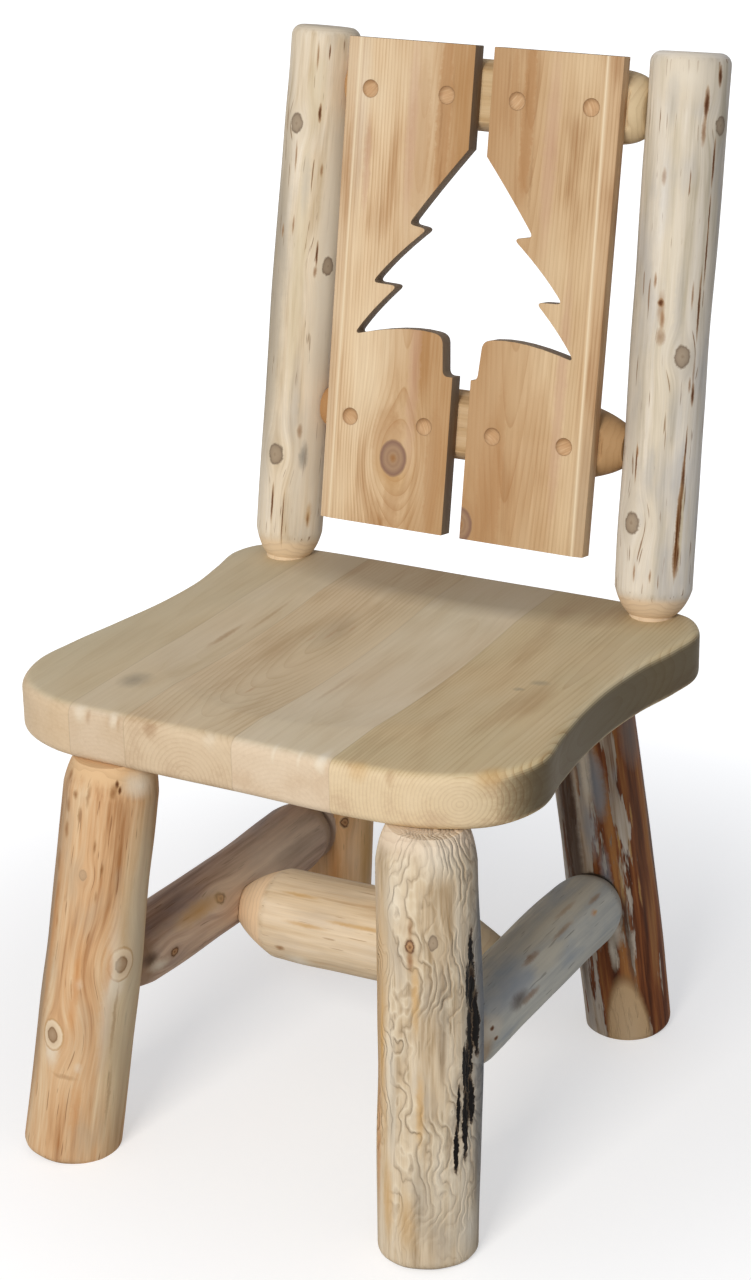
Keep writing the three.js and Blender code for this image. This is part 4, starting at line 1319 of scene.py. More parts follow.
@dataclass(frozen=True)
class Studio:
    """The photograph's camera, soft light and white ground."""

    eye: Triple = (1.204206, -2.186880, 1.436159)
    azimuth: float = 0.490371
    elevation: float = 0.399026
    roll: float = -0.0133877
    lens: float = 79.47
    shift: Pair = (-0.02182, 0.0535)
    key_place: Triple = (0.25, -3.0, 2.0)
    key_size: float = 1.3
    key_power: float = 79.0
    sky_strength: float = 0.36
    glow: Pair = (0.5, 1.0)
    floor_radius: float = 14.0

    def build(self) -> None:
        """Set up the camera, light, sky and floor."""
        self.add_camera()
        self.add_key()
        self.add_sky()
        self.add_floor()

    def add_camera(self) -> None:
        """Stand the camera where the photograph was taken from."""
        level_share = math.cos(self.elevation)
        east, north = math.sin(self.azimuth) * level_share, -math.cos(self.azimuth) * level_share
        back = Vector((east, north, math.sin(self.elevation)))
        level = Vector(UP).cross(back).normalized()
        upright = back.cross(level)
        right = level * math.cos(self.roll) + upright * math.sin(self.roll)
        upward = upright * math.cos(self.roll) - level * math.sin(self.roll)
        data = bpy.data.cameras.new("photographer")
        data.lens = self.lens
        data.sensor_width = 36
        data.shift_x, data.shift_y = self.shift
        camera = stand("photographer", data)
        turn = Matrix((right, upward, back)).transposed().to_4x4()
        camera.matrix_world = Matrix.Translation(self.eye) @ turn
        bpy.context.scene.camera = camera

    def add_key(self) -> None:
        """Hang one soft, slightly warm lamp beside the camera."""
        data = bpy.data.lights.new("softbox", "AREA")
        data.shape = "SQUARE"
        data.size = self.key_size
        data.energy = self.key_power
        data.color = linear("#fffaf3")[:3]
        aim = Vector((0, 0, 0.5)) - Vector(self.key_place)
        lamp = stand("softbox", data)
        turn = aim.to_track_quat("-Z", "Y").to_matrix().to_4x4()
        lamp.matrix_world = Matrix.Translation(self.key_place) @ turn

    def add_sky(self) -> None:
        """Surround the chair with dim cool light, and with plain white where the camera looks past it."""
        world = bpy.data.worlds.new("studio")
        bpy.context.scene.world = world
        sketch = Sketch("studio", world)
        soft = sketch.add("Background", {"Color": "#eef3ff", "Strength": self.sky_strength})
        white = sketch.add("Background", {"Color": "#ffffff"})
        shares = {0: self.background_shown(sketch), 1: soft.outputs[0], 2: white.outputs[0]}
        sketch.add("OutputWorld", {"Surface": sketch.add("MixShader", shares).outputs[0]})

    def background_shown(self, sketch: Sketch) -> Output:
        """1 for the rays that show the white ground: the camera's, mirrored in a gloss or through glass."""
        path = sketch.add("LightPath").outputs
        mirrored = sketch.run(Step.MAXIMUM, path["Is Glossy Ray"], path["Is Transmission Ray"])
        return sketch.run(Step.MAXIMUM, path["Is Camera Ray"], mirrored)

    def add_floor(self) -> None:
        """Lay a pale floor that shows white to the camera but keeps the chair's shadow."""
        sketch = Sketch("studio floor paper")
        away = sketch.run(Step.LENGTH, sketch.run(Step.HERE))
        near, far = self.glow
        edge = {"Value": away, "From Min": 0.3, "From Max": 1.3, "To Min": near, "To Max": far}
        strength = sketch.add("MapRange", edge, interpolation_type="SMOOTHSTEP").outputs[0]
        paper = sketch.add("BsdfDiffuse", {"Color": "#cfcfcf"}).outputs[0]
        glow = sketch.add("Emission", {"Color": "#ffffff", "Strength": strength}).outputs[0]
        both = sketch.add("AddShader", {0: paper, 1: glow}).outputs[0]
        shown = sketch.add("MixShader", {0: self.background_shown(sketch), 1: paper, 2: both})
        sketch.add("OutputMaterial", {"Surface": shown.outputs[0]})
        shape = bmesh.new()
        bmesh.ops.create_circle(shape, cap_ends=True, segments=96, radius=self.floor_radius)
        stand_shape(shape, "studio_floor", sketch.material)


def mill_flat(shape: Shape) -> None:
    """Mill a rail flat where the slats seat on it.

    Args:
        shape: The rail, in the row frame.
    """
    back = BACKREST.inverted()
    for vertex in shape.verts:
        across, depth, up = back @ vertex.co
        if abs(across) < FLAT_REACH and depth < FLAT_DEPTH:
            vertex.co = BACKREST @ Vector((across, FLAT_DEPTH, up))


POST_TOP = 975.35
TAN = LogFinish(
    "tan peeled spruce", "#e6cca6", "#d2a97e", "#a8764a", "#80532f", start_tone="#a5835c", end_tone="#dcb98e",
    haze="#b8a58c", haze_cover=0.45, fleck_cover=0.6,
)
PALE_LEG = LogFinish(
    "weathered peeled spruce", "#e8dac2", "#d0bc9e", "#a48a68", "#8f7754", start_tone="#a8957c",
    end_tone="#e2cfb6", haze="#b3a898", haze_cover=0.6, furrow_cover=0.75, relief=1.4,
)
BARKED = LogFinish(
    "spruce with bark remains", "#e0dad0", "#bfae98", "#8d7058", "#5c3e2c", start_tone="#9d8060",
    end_tone="#b59672", scoop="#8a7560", haze="#969ba2", haze_cover=0.5, bark_cover=0.42, bark="#824c2c",
    relief=0.8,
)
BROWN = LogFinish(
    "brown peeled spruce", "#f2ca9a", "#dcae7c", "#ae8254", "#6b4a32", start_tone="#8d7052",
    end_tone="#caa27a", scoop="#d3bfae",
)
GREY = LogFinish(
    "grey peeled spruce", "#d2cfc1", "#c1bfb4", "#afb0aa", "#6a645c", start_tone="#b8a48a",
    end_tone="#a09a8e", haze="#8595a6", haze_cover=0.5,
)
UMBER = LogFinish(
    "grey-brown peeled spruce", "#dcc4ac", "#bd9f8a", "#967967", "#6c5440", start_tone="#b0937a",
    end_tone="#a88a70", haze="#8e8688", haze_cover=0.45,
)
CREAM = LogFinish(
    "cream peeled spruce", "#eedbbf", "#dfc8a6", "#c2a078", "#a37c50", start_tone="#f4d6b0",
    end_tone="#c9b89c",
)
POST_WARM = LogFinish(
    "warm peeled spruce", "#f4e8d4", "#e8d8be", "#ccb694", "#87603c", start_tone="#ead2b0",
    end_tone="#e6d8c0", haze="#c0bab0", haze_cover=0.35, fleck_cover=0.8,
)
POST_COOL = LogFinish(
    "pale peeled spruce", "#f0e8da", "#e2d7c4", "#c8bca4", "#87603c", start_tone="#e6ceae",
    end_tone="#f4ecde", haze="#b6b6b8", haze_cover=0.45, fleck_cover=0.8,
)
RAIL_LOW = LogFinish(
    "brown peeled spruce rail", "#e2c59e", "#cead82", "#aa865a", "#85592f", start_tone="#bf9060",
    end_tone="#b8946a",
)
RAIL = LogFinish(
    "golden peeled spruce", "#e0c59c", "#cfb084", "#ae8a5e", "#94693f", start_tone="#c99c6c",
    end_tone="#dac49e",
)

FRONT_LEFT_MARKS = (
    Mark(K.STRAW, 190, 88, 220, 30),
    Mark(K.SEPIA, 190, -66, 230, 36, cover=1.3),
    # Painted shade down the left flank.
    Mark(K.SHADE, 220, -44, 200, 17, cover=0.9),
    Mark(K.PALE, 270, 88, 120, 20, cover=0.3),
    Mark(K.PALE, 196, 63, 34, 13),
    Mark(K.EYE, 209, 64, 19, 14.5, lump=2.4, ragged=0.6),
    Mark(K.PALE, 118, -8, 28, 12),
    Mark(K.EYE, 129, -7.5, 17, 13.5, lump=2.0, ragged=0.6),
    Mark(K.PALE, 102, 27, 7, 5, lump=0.8, cover=0.45),
    Mark(K.KNOT, 295, 8, 6, 4.5, lump=0.8, cover=0.45),
    Mark(K.PALE, 187, 18, 8, 5, lump=0.6, cover=0.4),
    Mark(K.PALE, 182, 54, 110, 10, cover=0.6),
    Mark(K.PALE, 386, 68, 16, 22),
    Mark(K.SEPIA, 345, -50, 34, 5, ragged=1.8),
    Mark(K.SEPIA, 300, -58, 60, 5, ragged=1.8),
    Mark(K.SEPIA, 262, -34, 22, 3, ragged=1.8),
    Mark(K.BROWN, 372, 4, 15, 2.6, ragged=1.6, cover=0.8),
    Mark(K.BROWN, 352, -6, 10, 2.2, ragged=1.6, cover=0.8),
    Mark(K.BROWN, 240, -26, 12, 2.2, ragged=1.6, cover=0.8),
    Mark(K.BROWN, 276, 26, 8, 1.6, ragged=1.6, cover=0.7),
    Mark(K.SEPIA, 150, 64, 44, 2.2, ragged=1.8, cover=0.7),
    Mark(K.SEPIA, 70, 68, 40, 2.4, ragged=1.8, cover=0.7),
    Mark(K.BROWN, 325, 19, 9, 2),
    Mark(K.BROWN, 304, 30, 8, 2),
    Mark(K.BROWN, 369, -15, 6, 4),
    Mark(K.SEPIA, 355, -28, 9, 5),
    Mark(K.SEPIA, 296, -39, 14, 5),
    Mark(K.BROWN, 331, -27, 12, 5),
    Mark(K.CHECK, 382, 41, 5, 2),
    Mark(K.CHECK, 387, 37, 5, 2.4),
    Mark(K.BROWN, 380, 34, 9, 5),
    Mark(K.BROWN, 382, -35, 9, 4),
    Mark(K.ORANGE, 180, 14, 70, 6),
    Mark(K.ORANGE, 58, 29, 40, 7),
    Mark(K.ORANGE, 206, 50, 26, 5),
    Mark(K.ORANGE, 230, -32, 120, 9),
    Mark(K.BROWN, 90, 12, 3, 16, cover=0.5),
)
FRONT_RIGHT_MARKS = (
    # Painted bluish shade down the right flank.
    Mark(K.SLATE_SHADE, 190, 108, 230, 26),
    # Painted shade down the left flank.
    Mark(K.SHADE, 200, -72, 210, 18, cover=0.8),
    Mark(K.OCHRE, 215, -58, 160, 12),
    Mark(K.SEPIA, 210, -46, 190, 12, cover=0.55),
    Mark(K.OCHRE, 210, -34, 190, 15, cover=0.8),
    # More painted bluish shade down the right flank.
    Mark(K.SLATE_SHADE, 250, 112, 160, 16, cover=0.7),
    Mark(K.SHADE, 58, 24, 50, 26, cover=0.3),
    Mark(K.ORANGE, 110, -46, 90, 7),
    Mark(K.PALE, 340, -10, 34, 16, cover=0.6),
    Mark(K.PALE, 90, 40, 60, 9, cover=0.6),
    Mark(K.GREY, 150, -14, 60, 7, cover=0.5),
    Mark(K.OCHRE, 205, -34, 70, 5),
    Mark(K.OCHRE, 60, -22, 50, 9),
    Mark(K.OCHRE, 44, 4, 36, 12, cover=0.6),
    Mark(K.OCHRE, 150, 20, 50, 5),
    Mark(K.GREY, 70, 18, 55, 9, cover=0.5),
    Mark(K.GREY, 230, 44, 70, 7, cover=0.5),
    Mark(K.DARK_KNOT, 302, 9, 9, 6, lump=1.4),
    Mark(K.BROWN, 288, 9, 12, 4),
    Mark(K.BROWN, 318, 9, 12, 3, cover=0.7),
    Mark(K.KNOT, 306, 34, 8, 5, lump=0.8),
    Mark(K.OCHRE, 254, 15, 45, 5),
    Mark(K.FISSURE, 272, 85, 44, 5.4, lump=-2.0, ragged=2.4),
    Mark(K.FISSURE, 238, 86, 42, 5.6, lump=-2.0, ragged=2.4),
    Mark(K.FISSURE, 205, 80, 42, 5.8, lump=-2.0, ragged=2.4),
    Mark(K.FISSURE, 168, 76, 44, 5.2, lump=-2.0, ragged=2.4),
    Mark(K.FISSURE, 132, 72, 38, 4.4, ragged=2.4),
    Mark(K.FISSURE, 262, 76, 22, 3, ragged=2.6),
    Mark(K.FISSURE, 222, 92, 34, 5, ragged=2.6),
    Mark(K.FISSURE, 186, 70, 26, 3.2, ragged=2.6),
    Mark(K.FISSURE, 152, 82, 26, 4, ragged=2.6),
    Mark(K.FISSURE, 112, 60, 26, 3, ragged=2.2),
    Mark(K.FISSURE, 150, 62, 26, 2.2, ragged=2.2),
    Mark(K.PALE, 193, -18, 60, 9, cover=0.6),
    Mark(K.PALE, 378, 40, 26, 30, cover=0.7),
    Mark(K.PALE, 29, 81, 36, 20),
)
BACK_RIGHT_MARKS = (
    Mark(K.PALE, 320, 14, 60, 11),
    Mark(K.PALE, 130, 26, 24, 7),
    Mark(K.GREY, 330, 2, 60, 6),
    Mark(K.PALE, 290, -6, 44, 5),
    Mark(K.GREY, 286, 28, 40, 9),
    Mark(K.BLUISH, 243, 9, 40, 9),
    Mark(K.PALE, 150, 2, 46, 6),
    Mark(K.GREY, 335, 84, 45, 18),
    Mark(K.PALE, 108, 18, 28, 5),
    Mark(K.DARK, 210, 76, 160, 12, cover=0.5),
    Mark(K.DARK, 120, 40, 80, 5),
    Mark(K.DARK, 110, -34, 130, 11),
    Mark(K.DARK, 330, -34, 90, 6),
    Mark(K.DARK, 300, 22, 60, 2.5),
    Mark(K.PALE, 292, 12, 36, 5, cover=0.8),
    Mark(K.BLUISH, 292, 24, 44, 9, cover=1.2),
    Mark(K.BLUISH, 190, 22, 40, 7, cover=1.0),
    Mark(K.DARK, 250, -24, 190, 17, cover=1.25),
    Mark(K.DARK, 250, -14, 190, 9, cover=1.1),
    Mark(K.DARK, 200, 108, 190, 10, cover=1.1),
    Mark(K.OCHRE, 226, 44, 14, 1.6, ragged=1.6),
    Mark(K.OCHRE, 214, 58, 18, 1.8, ragged=1.6),
    Mark(K.OCHRE, 178, 40, 24, 2.2, ragged=1.6),
    Mark(K.OCHRE, 166, 64, 20, 1.6, ragged=1.6),
    Mark(K.OCHRE, 250, 66, 16, 1.6, ragged=1.6),
    Mark(K.FACET, -10, 26, 92, 25, ragged=0.4),
)
BACK_LEFT_MARKS = (
    Mark(K.DARK_KNOT, 180, 49, 8, 6, lump=1.2),
    Mark(K.OCHRE, 136, 88, 70, 16),
    Mark(K.ORANGE, 124, 36, 50, 10),
)
POST_LEFT_MARKS = (
    Mark(K.STRAW, 300, 10, 160, 9, cover=0.7),
    Mark(K.STRAW, 470, 20, 50, 12, cover=0.7),
    # Painted shade down the left flank, towards its outline.
    Mark(K.SHADE, 250, -70, 260, 18, cover=1.5),
    Mark(K.SHADE, 260, -36, 250, 19, cover=1.1),
    # Painted light: down the right flank, as thrown back from the slat beside it, and at the foot, as thrown
    # back from the seat.
    Mark(K.PALE, 250, 74, 260, 20, cover=0.7),
    Mark(K.PALE, 300, 60, 240, 17, cover=1.2),
    Mark(K.PALE, 90, 36, 80, 15, cover=0.6),
    Mark(K.BLUISH, 170, 20, 60, 7, cover=0.45),
    Mark(K.BLUISH, 380, 12, 40, 6, cover=0.45),
    Mark(K.KNOT, 438, -12, 11, 8, lump=1.2),
    Mark(K.KNOT, 108, -5.5, 12, 9, lump=1.2),
    Mark(K.KNOT, 301, 62, 10, 8, lump=1.0),
    Mark(K.CHECK, 450, 27, 11, 2),
    Mark(K.BROWN, 504, 17, 17, 1.4),
    Mark(K.CHECK, 509, 35.5, 9, 1),
    Mark(K.BROWN, 406, -9.5, 19, 1.5),
    Mark(K.CHECK, 313, 40, 15, 1.5),
    Mark(K.BROWN, 295, 39, 7, 2.4),
    Mark(K.BROWN, 339, -5, 12, 1.6),
    Mark(K.SEPIA, 441, -38, 16, 2.4),
    Mark(K.BROWN, 332, -27, 9, 2),
    Mark(K.BROWN, 395, 37, 8, 2),
    Mark(K.SEPIA, 134, 34, 9, 3.4),
    Mark(K.GREY, 109, 44, 18, 6),
    Mark(K.OCHRE, 48, 62, 16, 5),
    Mark(K.CHECK, 58, -6.4, 24, 1.6),
    Mark(K.CHECK, 42, 15, 34, 0.8),
    Mark(K.BROWN, 43, 61, 9, 2),
)
POST_RIGHT_MARKS = (
    # Painted shade down the left flank, towards its outline.
    Mark(K.SHADE, 250, -70, 260, 20, cover=1.2),
    Mark(K.SHADE, 250, -28, 250, 17, cover=0.75),
    Mark(K.PALE, 512, 20, 34, 40, cover=1.0),
    Mark(K.BLUISH, 490, 0, 32, 9, cover=0.45),
    Mark(K.BLUISH, 408, 2, 50, 10, cover=0.45),
    Mark(K.STRAW, 300, 14, 240, 12, cover=0.35),
    Mark(K.BLUISH, 198, 36, 34, 10, cover=0.45),
    Mark(K.BLUISH, 144, 5, 34, 6, cover=0.45),
    Mark(K.BLUISH, 300, 30, 60, 6, cover=0.45),
    Mark(K.KNOT, 254.5, 40, 12, 9, lump=1.3),
    Mark(K.KNOT, 93, -18, 12, 9, lump=1.2),
    Mark(K.KNOT, 468, 77, 10, 8, lump=1.0),
    Mark(K.BROWN, 300, 4, 18, 4.5, cover=0.7),
    Mark(K.CHECK, 304, 3.5, 5, 4, lump=0.6),
    Mark(K.SEPIA, 272, 6, 10, 5.5),
    Mark(K.BROWN, 288, 7, 12, 3),
    Mark(K.CHECK, 487, 48.6, 19, 3),
    Mark(K.BROWN, 462, 47, 16, 3),
    Mark(K.CHECK, 513, 69, 12, 3),
    Mark(K.CHECK, 434, 68.4, 27, 1.8),
    Mark(K.CHECK, 385, 68.4, 26, 1.2),
    Mark(K.CHECK, 350, 68.4, 34, 1.4),
    Mark(K.CHECK, 300, 62, 36, 1.8),
    Mark(K.BROWN, 312, 49.4, 16, 1.4),
    Mark(K.CHECK, 219, 62, 13, 2.4),
    Mark(K.SEPIA, 240, 61, 20, 1.6),
    Mark(K.CHECK, 165, 56.6, 28, 1.2),
    Mark(K.CHECK, 132, 56, 34, 2.6),
    Mark(K.CHECK, 96, 54.6, 44, 4.0),
    Mark(K.CHECK, 62, 53.6, 22, 4.4),
    Mark(K.CHECK, 84, 52.5, 50, 2.0, ragged=0.8),
    Mark(K.STRAW, 92, 60, 50, 2.2),
    Mark(K.BROWN, 420, -5, 10, 3, cover=0.7),
    Mark(K.BROWN, 161, -18, 8, 2),
    Mark(K.CHECK, 151, -18.4, 22, 1.2),
    Mark(K.BROWN, 228, 55, 9, 2),
    Mark(K.BROWN, 46, -8.6, 11, 1.6),
    Mark(K.BROWN, 44, 16, 8, 1.4),
    Mark(K.BROWN, 324, -8, 9, 2),
)
LEFT_STRETCHER_MARKS = (
    Mark(K.DARK_KNOT, 173.5, 59, 10, 7, lump=1.2),
    Mark(K.DARK_KNOT, 88, 90, 8, 6, lump=1.0),
    Mark(K.DARK, 54, 79, 14, 8),
    Mark(K.PALE, 65, 97, 18, 8),
    Mark(K.OCHRE, 140, 56, 50, 12),
    Mark(K.PALE, 290, 50, 150, 36, cover=0.5),
    Mark(K.DARK, 310, 66, 60, 12, cover=0.4),
)
RIGHT_STRETCHER_MARKS = (
    Mark(K.SEPIA, 280, 17.5, 30, 3),
    Mark(K.SEPIA, 250, 37, 30, 3),
    Mark(K.SEPIA, 330, 36, 18, 3),
    Mark(K.STRAW, 270, 20, 110, 14, cover=0.5),
    Mark(K.BLUISH, 120, 50, 70, 18, cover=0.8),
    Mark(K.STRAW, 205, 52, 46, 12, cover=0.45),
    Mark(K.SEPIA, 178, 34, 22, 4, ragged=1.6),
    Mark(K.SEPIA, 146, 76, 26, 4, ragged=1.6),
    Mark(K.OCHRE, 316, 52, 7, 1.6, ragged=1.6),
    Mark(K.ORANGE, 313.5, 51, 8, 4),
    Mark(K.PALE, 63, 71, 26, 14),
    Mark(K.CHECK, 65, 70, 4, 2.5),
    Mark(K.CHECK, 68, 88, 4, 2.5),
    Mark(K.DARK, 124, 67, 24, 9),
)
CROSS_MARKS = (
    Mark(K.OCHRE, 109, 34, 26, 3),
    Mark(K.OCHRE, 124, 70, 30, 3),
    Mark(K.OCHRE, 166.5, 59, 26, 3),
    Mark(K.OCHRE, 194, 58, 26, 3),
    Mark(K.BROWN, 94, 110, 7, 4),
    Mark(K.PALE, 112, 128, 20, 14, lump=2.0),
)


@dataclass(frozen=True)
class Post:
    """A back post: its foot on the seat, its top, its girth and how it bows."""

    foot: Pair
    top: Pair
    radii: Triple
    bow: float

    def axis(self) -> LogAxis:
        """The post's line from the seat's top face to its own top."""
        return LogAxis((*self.foot, SEAT_TOP), (*self.top, POST_TOP), FRONT)

    def centre_at(self, up: float) -> Vector:
        """Where the post's axis crosses a height up the backrest, in the backrest's measure."""
        low, high = (to_backrest(Vector(end)) for end in (self.axis().start, self.axis().end))
        return low.lerp(high, (up - low.z) / (high.z - low.z))


@dataclass(frozen=True)
class LogFrame:
    """The chair's logs: four legs, three stretchers, two posts and two rails."""

    foot: LogEnd = LogEnd(EndShape.SAWN_FOOT, reach=9.0)
    leg_shoulder: LogEnd = LogEnd(EndShape.NECK, neck=35.5, reach=33.0, fullness=0.4, beyond=9.0)
    front_end: LogEnd = LogEnd(EndShape.NECK, neck=23.0, reach=40.0, fullness=0.4, setback=33.0)
    back_end: LogEnd = LogEnd(EndShape.NECK, neck=18.0, reach=40.0, fullness=0.7, setback=36.0)
    back_socket: LogEnd = LogEnd(EndShape.NECK, neck=22.0, reach=26.0, fullness=0.95, setback=33.0)
    cross_left_end: LogEnd = LogEnd(EndShape.NECK, neck=20.0, reach=43.0, fullness=0.22, setback=32.0)
    cross_right_end: LogEnd = LogEnd(EndShape.NECK, neck=20.0, reach=58.0, fullness=0.1, setback=34.0)
    post_shoulder: LogEnd = LogEnd(EndShape.NECK, neck=22.0, reach=27.0, fullness=0.4, beyond=5.0)
    post_top: LogEnd = LogEnd(EndShape.ROUNDED, reach=11.0)
    top_rail_end: LogEnd = LogEnd(EndShape.NECK, neck=21.0, reach=26.0, fullness=0.65, setback=34.0)
    bottom_rail_end: LogEnd = LogEnd(EndShape.NECK, neck=18.0, reach=37.0, fullness=0.3, setback=34.0)
    left_side: LogAxis = LogAxis((-175.5, -218.0, 167.0), (-157.0, 211.0, 168.0), UP)
    right_side: LogAxis = LogAxis((185.7, -223.0, 175.5), (173.0, 206.0, 157.5), UP)
    cross: LogAxis = LogAxis((-166.0, 0.0, 159.0), (180.0, 0.0, 164.0), UP)
    post_left: Post = Post((-204.0, 219.0), (-191.0, 305.5), (34.5, 35.0, 35.5), -2.0)
    post_right: Post = Post((202.5, 222.0), (191.5, 314.5), (38.5, 38.5, 39.0), -1.0)
    rail_depth: float = 43.6
    rail_rows: Pair = (425.0, 106.0)
    snug: float = 0.4

    def legs(self) -> list[PeeledLog]:
        """The four legs, each scooped for the end of its side stretcher."""
        left, right = self.left_side, self.right_side
        into_front_left = Socket(left.start, left.end, self.front_end, 35.5)
        into_back_left = Socket(left.end, left.start, self.back_socket, 36.0)
        into_front_right = Socket(right.start, right.end, self.front_end, 37.0)
        into_back_right = Socket(right.end, right.start, self.back_end, 37.5, gap=self.snug)
        stances = (
            (
                "front_left", (-193.5, -238.0), (-152.0, -190.0), (47.5, 46.5, 45.0), 1.0, "tan_log", TAN,
                FRONT_LEFT_MARKS, into_front_left,
            ),
            (
                "front_right", (194.0, -244.0), (172.5, -196.0), (47.0, 48.0, 45.0), 3.0, "peeled_log",
                PALE_LEG, FRONT_RIGHT_MARKS, into_front_right,
            ),
            (
                "back_left", (-165.0, 220.0), (-146.5, 200.0), (45.0, 45.5, 44.0), 2.0, "tan_log", BROWN,
                BACK_LEFT_MARKS, into_back_left,
            ),
            (
                "back_right", (190.0, 217.0), (145.0, 190.0), (45.0, 45.5, 44.5), 1.0, "bark_log", BARKED,
                BACK_RIGHT_MARKS, into_back_right,
            ),
        )
        return [
            PeeledLog(
                node=f"leg_{place_name}",
                slot=slot,
                axis=LogAxis((*foot, FLOOR_HEIGHT), (*top, SEAT_UNDERSIDE), FRONT),
                radii=radii,
                start_end=self.foot,
                finish_end=self.leg_shoulder,
                finish=finish,
                bow=bow,
                marks=marks,
                swell=2.0,
                sockets=(socket,),
                levels=((FLOOR_HEIGHT, -1), (SEAT_UNDERSIDE, 1)),
            )
            for place_name, foot, top, radii, bow, slot, finish, marks, socket in stances
        ]

    def stretchers(self) -> list[PeeledLog]:
        """The two side stretchers and the cross stretcher let into them."""
        into_left = Socket(self.cross.start, self.cross.end, self.cross_left_end, 44.5, gap=self.snug)
        into_right = Socket(self.cross.end, self.cross.start, self.cross_right_end, 45.5, gap=self.snug)
        ends = (self.front_end, self.back_end)
        return [
            PeeledLog(
                "stretcher_left", "bark_log", self.left_side, (35.5, 36.0, 36.0), *ends, UMBER, 2.0,
                LEFT_STRETCHER_MARKS, (into_left,), swell=2.4,
            ),
            PeeledLog(
                "stretcher_right", "grey_log", self.right_side, (37.0, 38.0, 37.5), *ends, GREY, -2.0,
                RIGHT_STRETCHER_MARKS, (into_right,), swell=1.8,
            ),
            PeeledLog(
                "stretcher_cross", "peeled_log", self.cross, (44.5, 46.0, 45.5), self.cross_left_end,
                self.cross_right_end, CREAM, 0.0, CROSS_MARKS,
            ),
        ]

    def rail_axis(self, up: float) -> LogAxis:
        """The line of the rail at a height up the backrest, from the left post to the right one."""
        ends = []
        for post in (self.post_left, self.post_right):
            across = post.centre_at(up).x
            ends.append(tuple(from_backrest(across, self.rail_depth, up)))
        return LogAxis(*ends, UP)

    def rails(self) -> list[PeeledLog]:
        """The two rails, milled flat where the slats seat."""
        radii = (35.0, 35.0, 35.0)
        rows = (("top", self.top_rail_end, RAIL), ("bottom", self.bottom_rail_end, RAIL_LOW))
        built = []
        for up, (name, end, finish) in zip(self.rail_rows, rows):
            line = self.rail_axis(up)
            rail = PeeledLog(f"rail_{name}", "peeled_log", line, radii, end, end, finish, 1.5, milled=True)
            built.append(rail)
        return built

    def posts(self) -> list[PeeledLog]:
        """The two back posts, let in for the rails' ends."""
        built = []
        sides = (
            ("left", self.post_left, POST_WARM, POST_LEFT_MARKS, False),
            ("right", self.post_right, POST_COOL, POST_RIGHT_MARKS, True),
        )
        for name, post, finish, marks, turned in sides:
            sockets = []
            for up, end in zip(self.rail_rows, (self.top_rail_end, self.bottom_rail_end)):
                rail = self.rail_axis(up)
                line = (rail.end, rail.start) if turned else (rail.start, rail.end)
                sockets.append(Socket(*line, end, 35.0, gap=self.snug))
            built.append(
                PeeledLog(
                    node=f"post_{name}",
                    slot="peeled_log",
                    axis=post.axis(),
                    radii=post.radii,
                    start_end=self.post_shoulder,
                    finish_end=self.post_top,
                    finish=finish,
                    bow=post.bow,
                    marks=marks,
                    sockets=tuple(sockets),
                    levels=((SEAT_TOP, -1),),
                )
            )
        return built

    def build(self) -> None:
        """Build every log."""
        for piece in (*self.legs(), *self.stretchers(), *self.posts(), *self.rails()):
            piece.build()


